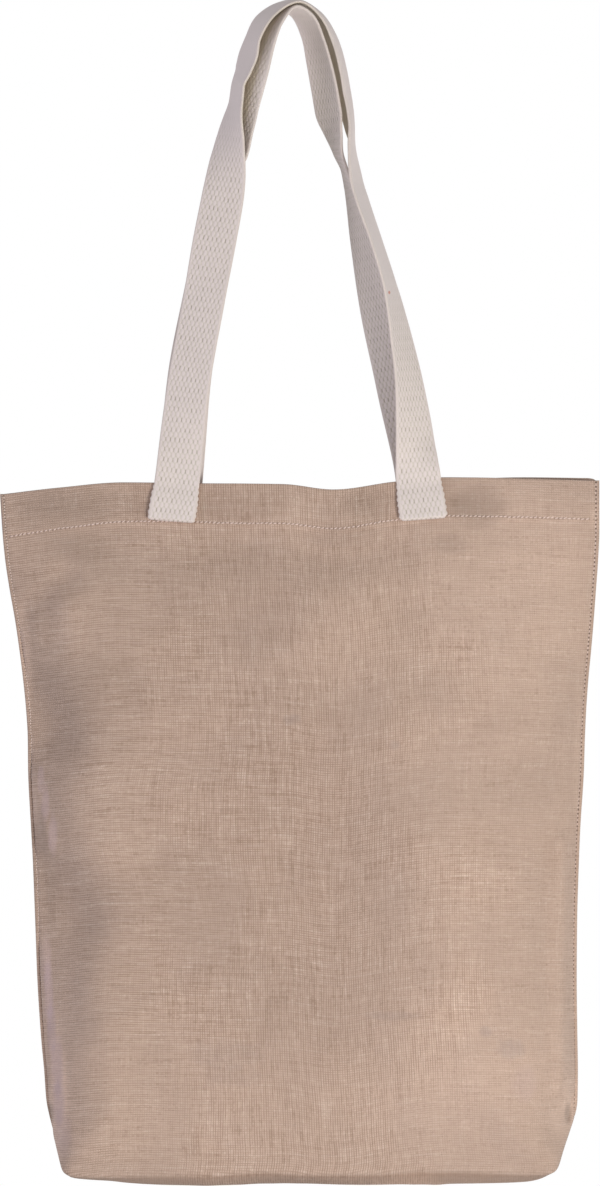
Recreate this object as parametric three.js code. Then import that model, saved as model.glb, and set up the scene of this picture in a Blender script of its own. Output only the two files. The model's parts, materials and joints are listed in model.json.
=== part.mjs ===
// Jute tote bag hanging by its two webbing handles.
// Millimetres, +X to the right, +Y to the back, +Z up. The origin is the place inside
// the handle crowns where the bag hangs.
import * as THREE from 'three';

// Driving dimensions.
const cloth = {
  halfWidth: 200, // flat cloth from the middle to a side edge
  ply: 1.3, // one layer of jute
  hemPly: 2.3, // the layers of the turned-in hem
  hem: 27.5, // depth of the hem
  hemStep: 2.5, // height over which the hem thins to one layer
  flange: 2.4, // side seam, from its stitch row to its edge
  flangeEnd: 0.4, // what is left of the flange at the boxed corner
};
const webbing = { wide: 30, thick: 2.2, foldThick: 3.9, fold: 21, foldBulk: 1, gap: 0.45, leastCurl: 0.001 };
const seamEnds = { left: -752, right: -744 }; // height where each side seam meets the boxed corner
const mouthToCrease = 460;
const grid = { columns: 36, wallRows: 27, baseRows: 6, handleStep: 8, handleColumns: 2 };

// Height of the mouth over the width of the bag, front and back.
const mouth = {
  front: [
    { x: -194, z: -325.1 },
    { x: -154, z: -320.6 },
    { x: -112, z: -317.1 },
    { x: -57, z: -317.8 },
    { x: -5, z: -318.5 },
    { x: 29, z: -322.1 },
    { x: 69, z: -316.8 },
    { x: 103, z: -313.9 },
    { x: 205, z: -315.8 },
  ],
  back: [
    { x: -194, z: -325.6 },
    { x: -120, z: -320.3 },
    { x: -60, z: -318.4 },
    { x: 20, z: -322.8 },
    { x: 90, z: -317.1 },
    { x: 150, z: -313.7 },
    { x: 198, z: -314.1 },
    { x: 205, z: -315.8 },
  ],
};

// Outline of the bag: the edges of the two side seams, and the lower corners.
const outline = [
  { z: -325, left: -194.1, right: 205.7 },
  { z: -348, left: -192.6, right: 205.7 },
  { z: -367, left: -190.8, right: 204.9 },
  { z: -388, left: -187.7, right: 203.4 },
  { z: -408, left: -184.2, right: 201.9 },
  { z: -428, left: -181.3, right: 200.2 },
  { z: -448, left: -178.8, right: 198.3 },
  { z: -468, left: -176.8, right: 196.9 },
  { z: -488, left: -175.6, right: 196 },
  { z: -508, left: -175.4, right: 195.4 },
  { z: -548, left: -173.4, right: 192.9 },
  { z: -568, left: -172.3, right: 192.1 },
  { z: -608, left: -170.7, right: 190.9 },
  { z: -648, left: -169.2, right: 190.6 },
  { z: -688, left: -166.6, right: 191.1 },
  { z: -708, left: -164.7, right: 191.4 },
  { z: -728, left: -163.2, right: 191.1 },
  { z: -738, left: -161.2, right: 189.4 },
  { z: -744, left: -159.7, right: 185.6 },
  { z: -752, left: -157.4, right: 181.6 },
  { z: -776, left: -151, right: 172 },
];

// How full the bag hangs. down: 0 at the mouth, 1 at the crease of the base.
// depth: half the bag's depth. left, right: cloth that turns back to each side seam.
// soft: how gradual that turn is.
const fill = [
  { down: 0, depth: 5.5, left: 62, right: 62, soft: 0.1 },
  { down: 0.07, depth: 8, left: 60, right: 60, soft: 0.1 },
  { down: 0.16, depth: 20, left: 56, right: 56, soft: 0.09 },
  { down: 0.25, depth: 30.5, left: 56, right: 54, soft: 0.08 },
  { down: 0.36, depth: 36.5, left: 70, right: 50, soft: 0.06 },
  { down: 0.45, depth: 37.5, left: 46, right: 56, soft: 0.09 },
  { down: 0.52, depth: 37.8, left: 45, right: 54, soft: 0.09 },
  { down: 0.63, depth: 38, left: 68, right: 52, soft: 0.06 },
  { down: 0.74, depth: 37.5, left: 52, right: 48, soft: 0.05 },
  { down: 0.85, depth: 37, left: 44, right: 43, soft: 0.04 },
  { down: 0.95, depth: 36.5, left: 39, right: 41, soft: 0.025 },
  { down: 1, depth: 36.5, left: 37.1, right: 37.8, soft: 0.012 },
];

// Where the front turns under into the base, and how far the base sags below that crease.
// at: distance across the flat cloth.
const crease = [
  { at: -163, z: -776.9 },
  { at: -138, z: -777.8 },
  { at: -115, z: -777.3 },
  { at: -88, z: -776.9 },
  { at: -71, z: -777.1 },
  { at: -60, z: -776.5 },
  { at: -48, z: -775.5 },
  { at: -34, z: -774.3 },
  { at: -21, z: -775.1 },
  { at: -8, z: -776.1 },
  { at: 32, z: -775.9 },
  { at: 58, z: -775 },
  { at: 73, z: -773.6 },
  { at: 85, z: -773.9 },
  { at: 111, z: -774.6 },
  { at: 138, z: -775.6 },
  { at: 160, z: -775.8 },
];
const baseSag = [
  { at: -163, deep: 0 },
  { at: -158, deep: 2.4 },
  { at: -148, deep: 2.9 },
  { at: -135, deep: 3.5 },
  { at: -122, deep: 5.3 },
  { at: -108, deep: 6.6 },
  { at: -95, deep: 7.3 },
  { at: -62, deep: 7.9 },
  { at: -35, deep: 9.1 },
  { at: -8, deep: 7.2 },
  { at: 18, deep: 8 },
  { at: 58, deep: 8.9 },
  { at: 72, deep: 10.4 },
  { at: 82, deep: 10.4 },
  { at: 92, deep: 9.5 },
  { at: 112, deep: 8.6 },
  { at: 132, deep: 7.3 },
  { at: 145, deep: 6.2 },
  { at: 152, deep: 4.6 },
  { at: 158, deep: 1.9 },
  { at: 162, deep: 0 },
];

// Soft ridges and troughs, each along a line from (x1, z1) to (x2, z2).
// out: how far it stands out of the cloth, negative for a trough.
const folds = {
  front: [
    { name: 'slack between the handles', x1: -34, z1: -322, x2: 30, z2: -340, wide: 30, out: 4 },
    { name: 'trough under the left handle', x1: -83, z1: -366, x2: -28, z2: -358, wide: 13, out: -1.2 },
    { name: 'trough under the right handle', x1: 18, z1: -366, x2: 73, z2: -362, wide: 12, out: -1.4 },
    { name: 'drag from the right handle', x1: 104, z1: -352, x2: 22, z2: -398, wide: 30, out: 5 },
    { name: 'lower end of that drag', x1: 22, z1: -398, x2: 0, z2: -452, wide: 34, out: 5 },
    { name: 'long swell, upper part', x1: 70, z1: -486, x2: 92, z2: -566, wide: 42, out: 7 },
    { name: 'long swell, lower part', x1: 92, z1: -566, x2: 92, z2: -690, wide: 42, out: 7 },
    { name: 'drag to the left seam', x1: -178, z1: -402, x2: -150, z2: -380, wide: 11, out: -4 },
    { name: 'start of that drag', x1: -150, z1: -380, x2: -120, z2: -362, wide: 13, out: -1.5 },
    { name: 'upper left swell', x1: -150, z1: -392, x2: -147, z2: -448, wide: 30, out: 6 },
    { name: 'edge of that swell', x1: -157, z1: -396, x2: -157.5, z2: -446, wide: 14, out: 4 },
    { name: 'middle left swell', x1: -139, z1: -498, x2: -134, z2: -548, wide: 28, out: 7 },
    { name: 'lower left swell', x1: -122, z1: -600, x2: -128, z2: -640, wide: 22, out: 3.6 },
    { name: 'swell over the left corner', x1: -126, z1: -668, x2: -126, z2: -750, wide: 26, out: 5 },
    { name: 'upper left hollow', x1: -160, z1: -396, x2: -157, z2: -420, wide: 10, out: -4 },
    { name: 'left hollow', x1: -163, z1: -452, x2: -159, z2: -482, wide: 17, out: -8 },
    { name: 'lower left hollow', x1: -154, z1: -572, x2: -140, z2: -606, wide: 15, out: -5 },
    { name: 'trough beside the left seam', x1: -146, z1: -650, x2: -143, z2: -748, wide: 9, out: -2 },
    { name: 'slanting crease', x1: -124, z1: -677, x2: -60, z2: -650, wide: 8, out: 2 },
    { name: 'trough beside the right seam', x1: 167, z1: -560, x2: 166, z2: -700, wide: 10, out: -2 },
    { name: 'fold to the right corner', x1: 160, z1: -760, x2: 122, z2: -706, wide: 15, out: 4 },
    { name: 'hollow over the right corner', x1: 170, z1: -744, x2: 164, z2: -705, wide: 11, out: -2 },
    { name: 'fold to the left corner', x1: -146, z1: -768, x2: -118, z2: -732, wide: 11, out: 2 },
  ],
  back: [
    { name: 'slack between the handles', x1: -30, z1: -322, x2: 34, z2: -336, wide: 32, out: 3 },
    { name: 'left drag', x1: -160, z1: -380, x2: -96, z2: -352, wide: 13, out: -1.8 },
    { name: 'right drag', x1: 172, z1: -384, x2: 112, z2: -352, wide: 13, out: -1.8 },
    { name: 'left swell', x1: -110, z1: -470, x2: -96, z2: -600, wide: 36, out: 2.2 },
    { name: 'right hollow', x1: 150, z1: -520, x2: 140, z2: -580, wide: 22, out: -2.8 },
    { name: 'fold to the right corner', x1: 168, z1: -766, x2: 130, z2: -720, wide: 11, out: 2 },
    { name: 'fold to the left corner', x1: -146, z1: -768, x2: -112, z2: -726, wide: 11, out: 2.2 },
  ],
};

// Centre lines of the handles from the left end, over the crown, to the right end.
// turn: the way from the far to the near edge of the webbing in degrees, 0 along +X,
// 90 toward the viewer, 180 along -X. curl: how far the edges bend inward, in degrees.
const handles = {
  front: [
    { x: -80, y: -9, z: -341.8, turn: 0, curl: 0 },
    { x: -75.8, y: -9, z: -314.8, turn: 0, curl: 0 },
    { x: -68.7, y: -8.5, z: -254, turn: 19, curl: 0 },
    { x: -58, y: -7.5, z: -194, turn: 21, curl: 0 },
    { x: -50.8, y: -6.5, z: -154, turn: 15.5, curl: 0 },
    { x: -45.8, y: -6, z: -127.4, turn: 19.5, curl: 0 },
    { x: -43.7, y: -6, z: -114, turn: 27, curl: 0 },
    { x: -42.5, y: -6, z: -104, turn: 35.5, curl: 0 },
    { x: -41.2, y: -6.2, z: -94, turn: 45.5, curl: 0 },
    { x: -40.1, y: -6.8, z: -86, turn: 53, curl: 0 },
    { x: -38.7, y: -8, z: -74, turn: 65, curl: 0 },
    { x: -36.5, y: -8.6, z: -62, turn: 73, curl: 0 },
    { x: -35, y: -9.6, z: -50.5, turn: 74, curl: 0 },
    { x: -31.4, y: -11, z: -40.5, turn: 68, curl: 0 },
    { x: -28.6, y: -11.3, z: -32, turn: 65, curl: 0 },
    { x: -25.2, y: -11.4, z: -20, turn: 70, curl: 0 },
    { x: -16, y: -7, z: -4.2, turn: 66, curl: 0 },
    { x: 0.5, y: 0, z: 4.9, turn: 68, curl: 10 },
    { x: 17, y: 7.4, z: -4, turn: 74, curl: 36 },
    { x: 28.6, y: 11, z: -24, turn: 79, curl: 50 },
    { x: 33.4, y: 11, z: -43, turn: 79, curl: 52 },
    { x: 35.4, y: 10.8, z: -54, turn: 80, curl: 52 },
    { x: 37.5, y: 10.2, z: -65, turn: 81, curl: 46 },
    { x: 39.5, y: 8.8, z: -78, turn: 85, curl: 32 },
    { x: 41.1, y: 6.6, z: -93, turn: 97, curl: 12 },
    { x: 43.4, y: 4, z: -113, turn: 105, curl: 0 },
    { x: 47.4, y: 2, z: -127.4, turn: 106.5, curl: 0 },
    { x: 56.5, y: -1, z: -154, turn: 105, curl: 0 },
    { x: 64.9, y: -3, z: -181, turn: 106.6, curl: 0 },
    { x: 68.2, y: -4, z: -194, turn: 110, curl: 0 },
    { x: 73.7, y: -5.4, z: -221, turn: 119, curl: 0 },
    { x: 78.4, y: -6.8, z: -247.5, turn: 127.7, curl: 0 },
    { x: 81.4, y: -7.8, z: -274, turn: 141, curl: 0 },
    { x: 83.6, y: -8.6, z: -300, turn: 158, curl: 0 },
    { x: 85, y: -9, z: -315, turn: 180, curl: 0 },
    { x: 88.4, y: -9, z: -340.7, turn: 180, curl: 0 },
  ],
  back: [
    { x: -76.4, y: 9, z: -338.8, turn: 180, curl: 0 },
    { x: -74, y: 9, z: -314, turn: 180, curl: 0 },
    { x: -68, y: 9, z: -247, turn: 166, curl: 0 },
    { x: -58.6, y: 10.5, z: -194, turn: 157, curl: 0 },
    { x: -50.6, y: 12, z: -154, turn: 146, curl: 0 },
    { x: -41.5, y: 12, z: -124, turn: 125, curl: 0 },
    { x: -35.3, y: 10, z: -109, turn: 104, curl: 0 },
    { x: -33.1, y: 5, z: -93, turn: 76, curl: 14 },
    { x: -31.4, y: 0, z: -78, turn: 71, curl: 28 },
    { x: -29.1, y: -5, z: -64, turn: 66, curl: 40 },
    { x: -24, y: -9.5, z: -44, turn: 62, curl: 44 },
    { x: -18.8, y: -9.8, z: -24, turn: 61, curl: 22 },
    { x: -13, y: -7, z: -10, turn: 62, curl: 6 },
    { x: -1.6, y: -1.3, z: 1.2, turn: 64, curl: 0 },
    { x: 7.4, y: 3.2, z: -4, turn: 63, curl: 0 },
    { x: 15, y: 8, z: -18, turn: 62, curl: 14 },
    { x: 19.2, y: 10, z: -34, turn: 57.5, curl: 18 },
    { x: 22.9, y: 11.5, z: -52.7, turn: 55, curl: 14 },
    { x: 25.3, y: 12.3, z: -68, turn: 55, curl: 8 },
    { x: 28.4, y: 12.6, z: -82, turn: 67.5, curl: 4 },
    { x: 31.6, y: 13.6, z: -96, turn: 80, curl: 0 },
    { x: 36, y: 15.4, z: -107.4, turn: 84, curl: 0 },
    { x: 39, y: 17.2, z: -119, turn: 80, curl: 0 },
    { x: 46.8, y: 16.6, z: -154, turn: 63, curl: 0 },
    { x: 57, y: 13.4, z: -201, turn: 46, curl: 0 },
    { x: 69.6, y: 11.5, z: -248, turn: 28, curl: 0 },
    { x: 84.8, y: 9, z: -313, turn: 0, curl: 0 },
    { x: 86.6, y: 9, z: -338.4, turn: 0, curl: 0 },
  ],
};

const materials = {
  jute: { color: 0xb39a85, roughness: 0.93, metalness: 0 },
  webbing: { color: 0xd3c7be, roughness: 0.88, metalness: 0 },
};

const lerp = THREE.MathUtils.lerp;
const clamp = THREE.MathUtils.clamp;
const smooth = (value, from, to) => THREE.MathUtils.smoothstep(value, from, to);

// A smooth curve through a table's rows that never overshoots them.
function curve(rows, by, key) {
  const steps = rows.slice(1).map((row, k) => row[by] - rows[k][by]);
  const slopes = steps.map((step, k) => (rows[k + 1][key] - rows[k][key]) / step);
  const tangent = rows.map((row, k) => {
    if (k === 0) return slopes[0];
    if (k === rows.length - 1) return slopes[k - 1];
    if (slopes[k - 1] * slopes[k] <= 0) return 0;
    return (2 * slopes[k - 1] * slopes[k]) / (slopes[k - 1] + slopes[k]);
  });
  const rising = rows[rows.length - 1][by] > rows[0][by];
  return (at) => {
    let k = 0;
    while (k < steps.length - 1 && (rising ? at > rows[k + 1][by] : at < rows[k + 1][by])) k += 1;
    const u = clamp((at - rows[k][by]) / steps[k], 0, 1);
    const start = rows[k][key];
    const end = rows[k + 1][key];
    const lean = 3 * (end - start) - (2 * tangent[k] + tangent[k + 1]) * steps[k];
    const bend = 2 * (start - end) + (tangent[k] + tangent[k + 1]) * steps[k];
    return start + u * (tangent[k] * steps[k] + u * (lean + u * bend));
  };
}

const mouthHeight = { front: curve(mouth.front, 'x', 'z'), back: curve(mouth.back, 'x', 'z') };
const outlineLeft = curve(outline, 'z', 'left');
const outlineRight = curve(outline, 'z', 'right');
const creaseAt = curve(crease, 'at', 'z');
const sagAt = curve(baseSag, 'at', 'deep');
const fillAt = Object.fromEntries(
  ['depth', 'left', 'right', 'soft'].map((key) => [key, curve(fill, 'down', key)]),
);

// How far the cloth at a share of the way out from the middle has turned to the seam, 0 to 1.
function turned(share, sideCloth, soft) {
  const corner = 1 - sideCloth / cloth.halfWidth;
  const ramp = (at) => soft * Math.log1p(Math.exp((at - corner) / soft));
  return (ramp(share) - ramp(0)) / (ramp(1) - ramp(0));
}

function ply(down) {
  const below = down * mouthToCrease - cloth.hem;
  return lerp(cloth.hemPly, cloth.ply, smooth(below, -cloth.hemStep / 2, cloth.hemStep / 2));
}

function flange(down) {
  return lerp(cloth.flange, cloth.flangeEnd, smooth(down, 0.965, 1));
}

function foldOut(side, x, z) {
  let out = 0;
  for (const fold of folds[side]) {
    const dx = fold.x2 - fold.x1;
    const dz = fold.z2 - fold.z1;
    const along = clamp(((x - fold.x1) * dx + (z - fold.z1) * dz) / (dx * dx + dz * dz), 0, 1);
    const away = Math.hypot(x - fold.x1 - along * dx, z - fold.z1 - along * dz);
    out += fold.out * Math.exp(-((away / fold.wide) ** 2));
  }
  return out;
}

function sideClothAt(across, down) {
  return across < 0 ? fillAt.left(down) : fillAt.right(down);
}

// Height of the lower edge of a panel: the base crease, rising to the side seam's end.
function creaseHeight(across, soft) {
  const fold = creaseAt(across * cloth.halfWidth) + cloth.ply;
  const seamEnd = across < 0 ? seamEnds.left : seamEnds.right;
  return lerp(fold, seamEnd, turned(Math.abs(across), sideClothAt(across, 1), soft));
}

// Inner face of a panel. across: -1 at the left stitch row, 1 at the right one.
// down: 0 at the mouth, 1 at the crease of the base.
function panelInside(side, across, down) {
  const share = Math.abs(across);
  const soft = fillAt.soft(down);
  const sideCloth = sideClothAt(across, down);
  const turn = turned(share, sideCloth, soft);
  const topLeft = mouthHeight[side](outline[0].left);
  const topRight = mouthHeight[side](outline[0].right);
  const left = outlineLeft(lerp(topLeft, seamEnds.left, down)) + flange(down);
  const right = outlineRight(lerp(topRight, seamEnds.right, down)) - flange(down);
  const middle = (left + right) / 2;
  const depth = fillAt.depth(down);
  const backward = Math.sqrt(Math.max(0, 1 - (depth / sideCloth) ** 2));
  const lost = ((1 - backward) * sideCloth) / cloth.halfWidth;
  const x = middle + (Math.sign(across) * (right - middle) * (share - lost * turn)) / (1 - lost);
  const wallTop = mouthHeight[side](x);
  const z = lerp(wallTop, creaseHeight(across, soft), down);
  const held = (1 - share ** 50) * (1 - smooth(down, 0.97, 1));
  const front = side === 'front' ? -1 : 1;
  const y = front * Math.max(0, depth * (1 - turn) + held * foldOut(side, x, z));
  return new THREE.Vector3(x, y, z);
}

// Inner face of the base. over: 0 at the front crease, 1 at the back one.
function baseInside(across, over) {
  const front = panelInside('front', across, 1);
  const back = panelInside('back', across, 1);
  const point = front.clone().lerp(back, over);
  point.z -= sagAt(across * cloth.halfWidth) * Math.sin(Math.PI * over) ** 0.8;
  return point;
}

// The cloth as one length: 0 to 1 down the front, 1 to 2 over the base, 2 to 3 up the back.
function clothInside(across, length) {
  if (length <= 1) return panelInside('front', across, length);
  if (length < 2) return baseInside(across, length - 1);
  return panelInside('back', across, 3 - length);
}

function downOf(length) {
  return length <= 1 ? length : length < 2 ? 1 : 3 - length;
}

function clothOutside(across, length) {
  const point = clothInside(across, length);
  const nudge = 0.004;
  const wide = clothInside(Math.min(1, across + nudge), length);
  wide.sub(clothInside(Math.max(-1, across - nudge), length));
  const long = clothInside(across, Math.min(3, length + nudge));
  long.sub(clothInside(across, Math.max(0, length - nudge)));
  const normal = long.cross(wide).normalize();
  return point.addScaledVector(normal, ply(downOf(length)));
}

// How far out the panel's outer face lies at a place on it.
function panelFace(side, x, z) {
  let across = clamp(x / cloth.halfWidth, -1, 1);
  let down = clamp((mouthHeight[side](x) - z) / mouthToCrease, 0, 1);
  const lengthOf = (at) => (side === 'front' ? at : 3 - at);
  let point = clothOutside(across, lengthOf(down));
  for (let k = 0; k < 5; k += 1) {
    across = clamp(across + (x - point.x) / cloth.halfWidth, -1, 1);
    down = clamp(down + (point.z - z) / mouthToCrease, 0, 1);
    point = clothOutside(across, lengthOf(down));
  }
  return Math.abs(point.y);
}

// Collects corner points and triangles, sharing points and dropping empty triangles.
class Skin {
  constructor() {
    this.positions = [];
    this.faces = [];
  }

  add(point) {
    this.positions.push(point.x, point.y, point.z);
    return this.positions.length / 3 - 1;
  }

  triangle(a, b, c) {
    if (a !== b && b !== c && a !== c) this.faces.push(a, b, c);
  }

  quad(a, b, c, d) {
    this.triangle(a, b, c);
    this.triangle(a, c, d);
  }

  mesh(name, looks) {
    const geometry = new THREE.BufferGeometry();
    geometry.setAttribute('position', new THREE.Float32BufferAttribute(this.positions, 3));
    geometry.setIndex(this.faces);
    geometry.computeVertexNormals();
    const mesh = new THREE.Mesh(geometry, new THREE.MeshStandardMaterial(looks));
    mesh.name = name;
    return mesh;
  }
}

function clothColumns() {
  return Array.from({ length: grid.columns + 1 }, (_, i) => {
    const even = (2 * i) / grid.columns - 1;
    return even * (1.25 - 0.25 * even * even);
  });
}

// Places along the cloth, with rows at the hem's edge where its thickness changes.
function clothRows() {
  const hem = cloth.hem / mouthToCrease;
  const step = cloth.hemStep / mouthToCrease / 2;
  const wall = [0, hem / 2, hem - step, hem + step];
  const first = wall.at(-1);
  for (let k = 1; k <= grid.wallRows; k += 1) {
    const even = k / grid.wallRows;
    wall.push(first + (1 - first) * even * (1.12 - 0.12 * even));
  }
  const base = Array.from({ length: grid.baseRows - 1 }, (_, k) => 1 + (k + 1) / grid.baseRows);
  return [...wall, ...base, ...wall.map((down) => 3 - down).reverse()];
}

function makeBody() {
  const skin = new Skin();
  const columns = clothColumns();
  const rows = clothRows();
  const lastRow = rows.length - 1;
  const lastColumn = columns.length - 1;

  const crease = (lastRow - grid.baseRows) / 2;
  const mirrored = (j) => Math.min(j, lastRow - j, crease);

  // Front and back share their inside points along the seams.
  const inside = [];
  rows.forEach((length, j) => {
    inside.push(columns.map((across, i) => {
      const seam = i === 0 || i === lastColumn;
      return seam && mirrored(j) < j ? inside[mirrored(j)][i] : skin.add(clothInside(across, length));
    }));
  });

  // Each outside row runs from one flange edge to the other.
  const outside = rows.map((length, j) => {
    const reach = flange(downOf(length));
    const y = ply(downOf(length)) * clamp(2 * (length - 1.5), -1, 1);
    const left = clothInside(-1, rows[mirrored(j)]).setY(y);
    const right = clothInside(1, rows[mirrored(j)]).setY(y);
    const leftEdge = new THREE.Vector3(left.x - reach, y * 0.85, left.z);
    const rightEdge = new THREE.Vector3(right.x + reach, y * 0.85, right.z);
    const between = columns.slice(1, -1).map((across) => clothOutside(across, length));
    return [leftEdge, left, ...between, right, rightEdge].map((point) => skin.add(point));
  });

  for (let j = 0; j < lastRow; j += 1) {
    for (let i = 0; i < lastColumn; i += 1) {
      skin.quad(inside[j][i], inside[j][i + 1], inside[j + 1][i + 1], inside[j + 1][i]);
    }
    for (let i = 0; i < lastColumn + 2; i += 1) {
      skin.quad(outside[j][i], outside[j + 1][i], outside[j + 1][i + 1], outside[j][i + 1]);
    }
  }

  const edge = lastColumn + 2;
  for (let j = 0; j < lastRow / 2; j += 1) {
    const far = lastRow - j;
    skin.quad(outside[j][0], outside[far][0], outside[far - 1][0], outside[j + 1][0]);
    skin.quad(outside[j][edge], outside[j + 1][edge], outside[far - 1][edge], outside[far][edge]);
  }

  const frontRim = outside[0];
  const backRim = outside[lastRow];
  for (let i = 0; i < lastColumn; i += 1) {
    skin.quad(frontRim[i + 1], frontRim[i + 2], inside[0][i + 1], inside[0][i]);
    skin.quad(inside[lastRow][i], inside[lastRow][i + 1], backRim[i + 2], backRim[i + 1]);
  }
  const leftSeam = inside[0][0];
  skin.triangle(leftSeam, frontRim[0], frontRim[1]);
  skin.triangle(leftSeam, backRim[0], frontRim[0]);
  skin.triangle(leftSeam, backRim[1], backRim[0]);
  const rightSeam = inside[0][lastColumn];
  skin.triangle(rightSeam, frontRim[edge - 1], frontRim[edge]);
  skin.triangle(rightSeam, frontRim[edge], backRim[edge]);
  skin.triangle(rightSeam, backRim[edge], backRim[edge - 1]);
  return skin.mesh('body', materials.jute);
}

// A handle's table as smooth curves over the distance along its centre line.
function handleLine(rows) {
  let along = 0;
  const table = rows.map((row, k) => {
    const last = rows[Math.max(0, k - 1)];
    along += Math.hypot(row.x - last.x, row.y - last.y, row.z - last.z);
    return { ...row, along };
  });
  const keys = ['x', 'y', 'z', 'turn', 'curl'];
  const at = Object.fromEntries(keys.map((key) => [key, curve(table, 'along', key)]));
  const point = (distance) => new THREE.Vector3(at.x(distance), at.y(distance), at.z(distance));
  return { point, turn: at.turn, curl: at.curl, length: along };
}

// Webbing with its two ends folded under and laid on the panel.
function makeHandle(side) {
  const line = handleLine(handles[side]);
  const front = side === 'front' ? -1 : 1;
  const stations = Math.round(line.length / grid.handleStep);
  const skin = new Skin();
  const rings = [];
  for (let k = 0; k <= stations; k += 1) {
    const even = k / stations;
    const distance = line.length * (even - 0.035 * Math.sin(4 * Math.PI * even));
    const centre = line.point(distance);
    const nudge = 0.5;
    const tangent = line.point(Math.min(line.length, distance + nudge));
    tangent.sub(line.point(Math.max(0, distance - nudge))).normalize();
    const turn = THREE.MathUtils.degToRad(line.turn(distance));
    const across = new THREE.Vector3(Math.cos(turn), -Math.sin(turn), 0);
    across.addScaledVector(tangent, -across.dot(tangent)).normalize();
    const normal = across.clone().cross(tangent);
    const toEnd = Math.min(distance, line.length - distance);
    const folded = 1 - smooth(toEnd, webbing.fold - 2, webbing.fold + 2);
    const thick = lerp(webbing.thick, webbing.foldThick, folded);
    const half = webbing.wide / 2 + folded * webbing.foldBulk;
    const mouthAt = mouthHeight[side](centre.x);
    const laid = 1 - smooth(centre.z, mouthAt + 1, mouthAt + 32);
    const curl = Math.max(webbing.leastCurl, THREE.MathUtils.degToRad(line.curl(distance)));
    const inward = (bend) => ((webbing.wide / 2) * (1 - Math.cos(bend))) / curl;
    const ring = [];
    for (let i = 0; i < 2 * (grid.handleColumns + 1); i += 1) {
      const under = i > grid.handleColumns;
      const column = under ? 2 * grid.handleColumns + 1 - i : i;
      const share = (2 * column) / grid.handleColumns - 1;
      const bend = curl * share;
      const reach = share ? (half * share * Math.sin(bend)) / bend : 0;
      const point = centre.clone().addScaledVector(across, reach);
      point.addScaledVector(normal, inward(curl) / 2 - inward(bend));
      const face = panelFace(side, point.x, Math.min(point.z, mouthAt - 0.5)) + webbing.gap;
      const laidY = front * (under ? face : face + thick);
      const rise = under ? -thick / 2 : thick / 2;
      point.addScaledVector(normal, rise * Math.cos(bend)).addScaledVector(across, rise * Math.sin(bend));
      point.y = lerp(point.y, laidY, laid);
      ring.push(skin.add(point));
    }
    rings.push(ring);
  }
  const sides = rings[0].length;
  for (let k = 0; k < stations; k += 1) {
    for (let i = 0; i < sides; i += 1) {
      const next = (i + 1) % sides;
      skin.quad(rings[k][i], rings[k][next], rings[k + 1][next], rings[k + 1][i]);
    }
  }
  for (let i = 0; i < grid.handleColumns; i += 1) {
    const opposite = sides - 1 - i;
    const first = rings[0];
    const last = rings[stations];
    skin.quad(first[i], first[opposite], first[opposite - 1], first[i + 1]);
    skin.quad(last[i], last[i + 1], last[opposite - 1], last[opposite]);
  }
  return skin.mesh(`handle_${side}`, materials.webbing);
}

const bag = new THREE.Group();
bag.add(makeBody(), makeHandle('front'), makeHandle('back'));

export default bag;
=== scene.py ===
import json
import math

import bmesh
import bpy
import numpy as np
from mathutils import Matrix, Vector
from mathutils.bvhtree import BVHTree

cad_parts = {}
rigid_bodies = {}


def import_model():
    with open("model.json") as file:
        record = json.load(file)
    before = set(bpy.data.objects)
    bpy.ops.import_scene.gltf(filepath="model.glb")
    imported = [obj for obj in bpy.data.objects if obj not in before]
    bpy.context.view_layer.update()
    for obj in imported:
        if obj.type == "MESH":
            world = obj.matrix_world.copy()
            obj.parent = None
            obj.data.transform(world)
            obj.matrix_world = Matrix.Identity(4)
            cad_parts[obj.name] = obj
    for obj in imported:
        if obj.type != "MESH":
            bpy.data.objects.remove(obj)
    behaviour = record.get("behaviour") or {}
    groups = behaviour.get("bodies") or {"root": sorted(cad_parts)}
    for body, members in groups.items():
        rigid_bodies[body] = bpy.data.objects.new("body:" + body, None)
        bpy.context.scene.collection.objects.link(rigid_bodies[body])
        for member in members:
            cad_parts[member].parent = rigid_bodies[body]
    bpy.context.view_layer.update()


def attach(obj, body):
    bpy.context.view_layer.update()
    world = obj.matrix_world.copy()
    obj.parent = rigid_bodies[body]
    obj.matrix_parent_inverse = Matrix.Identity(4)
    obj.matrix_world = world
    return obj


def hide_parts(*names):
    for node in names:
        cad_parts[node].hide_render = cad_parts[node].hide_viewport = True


# A jute tote bag that hangs by its two webbing handles.
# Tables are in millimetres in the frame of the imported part: +X right, +Y back, +Z up.
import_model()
mm = 0.001
sides = {"front": -1, "back": 1}

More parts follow.
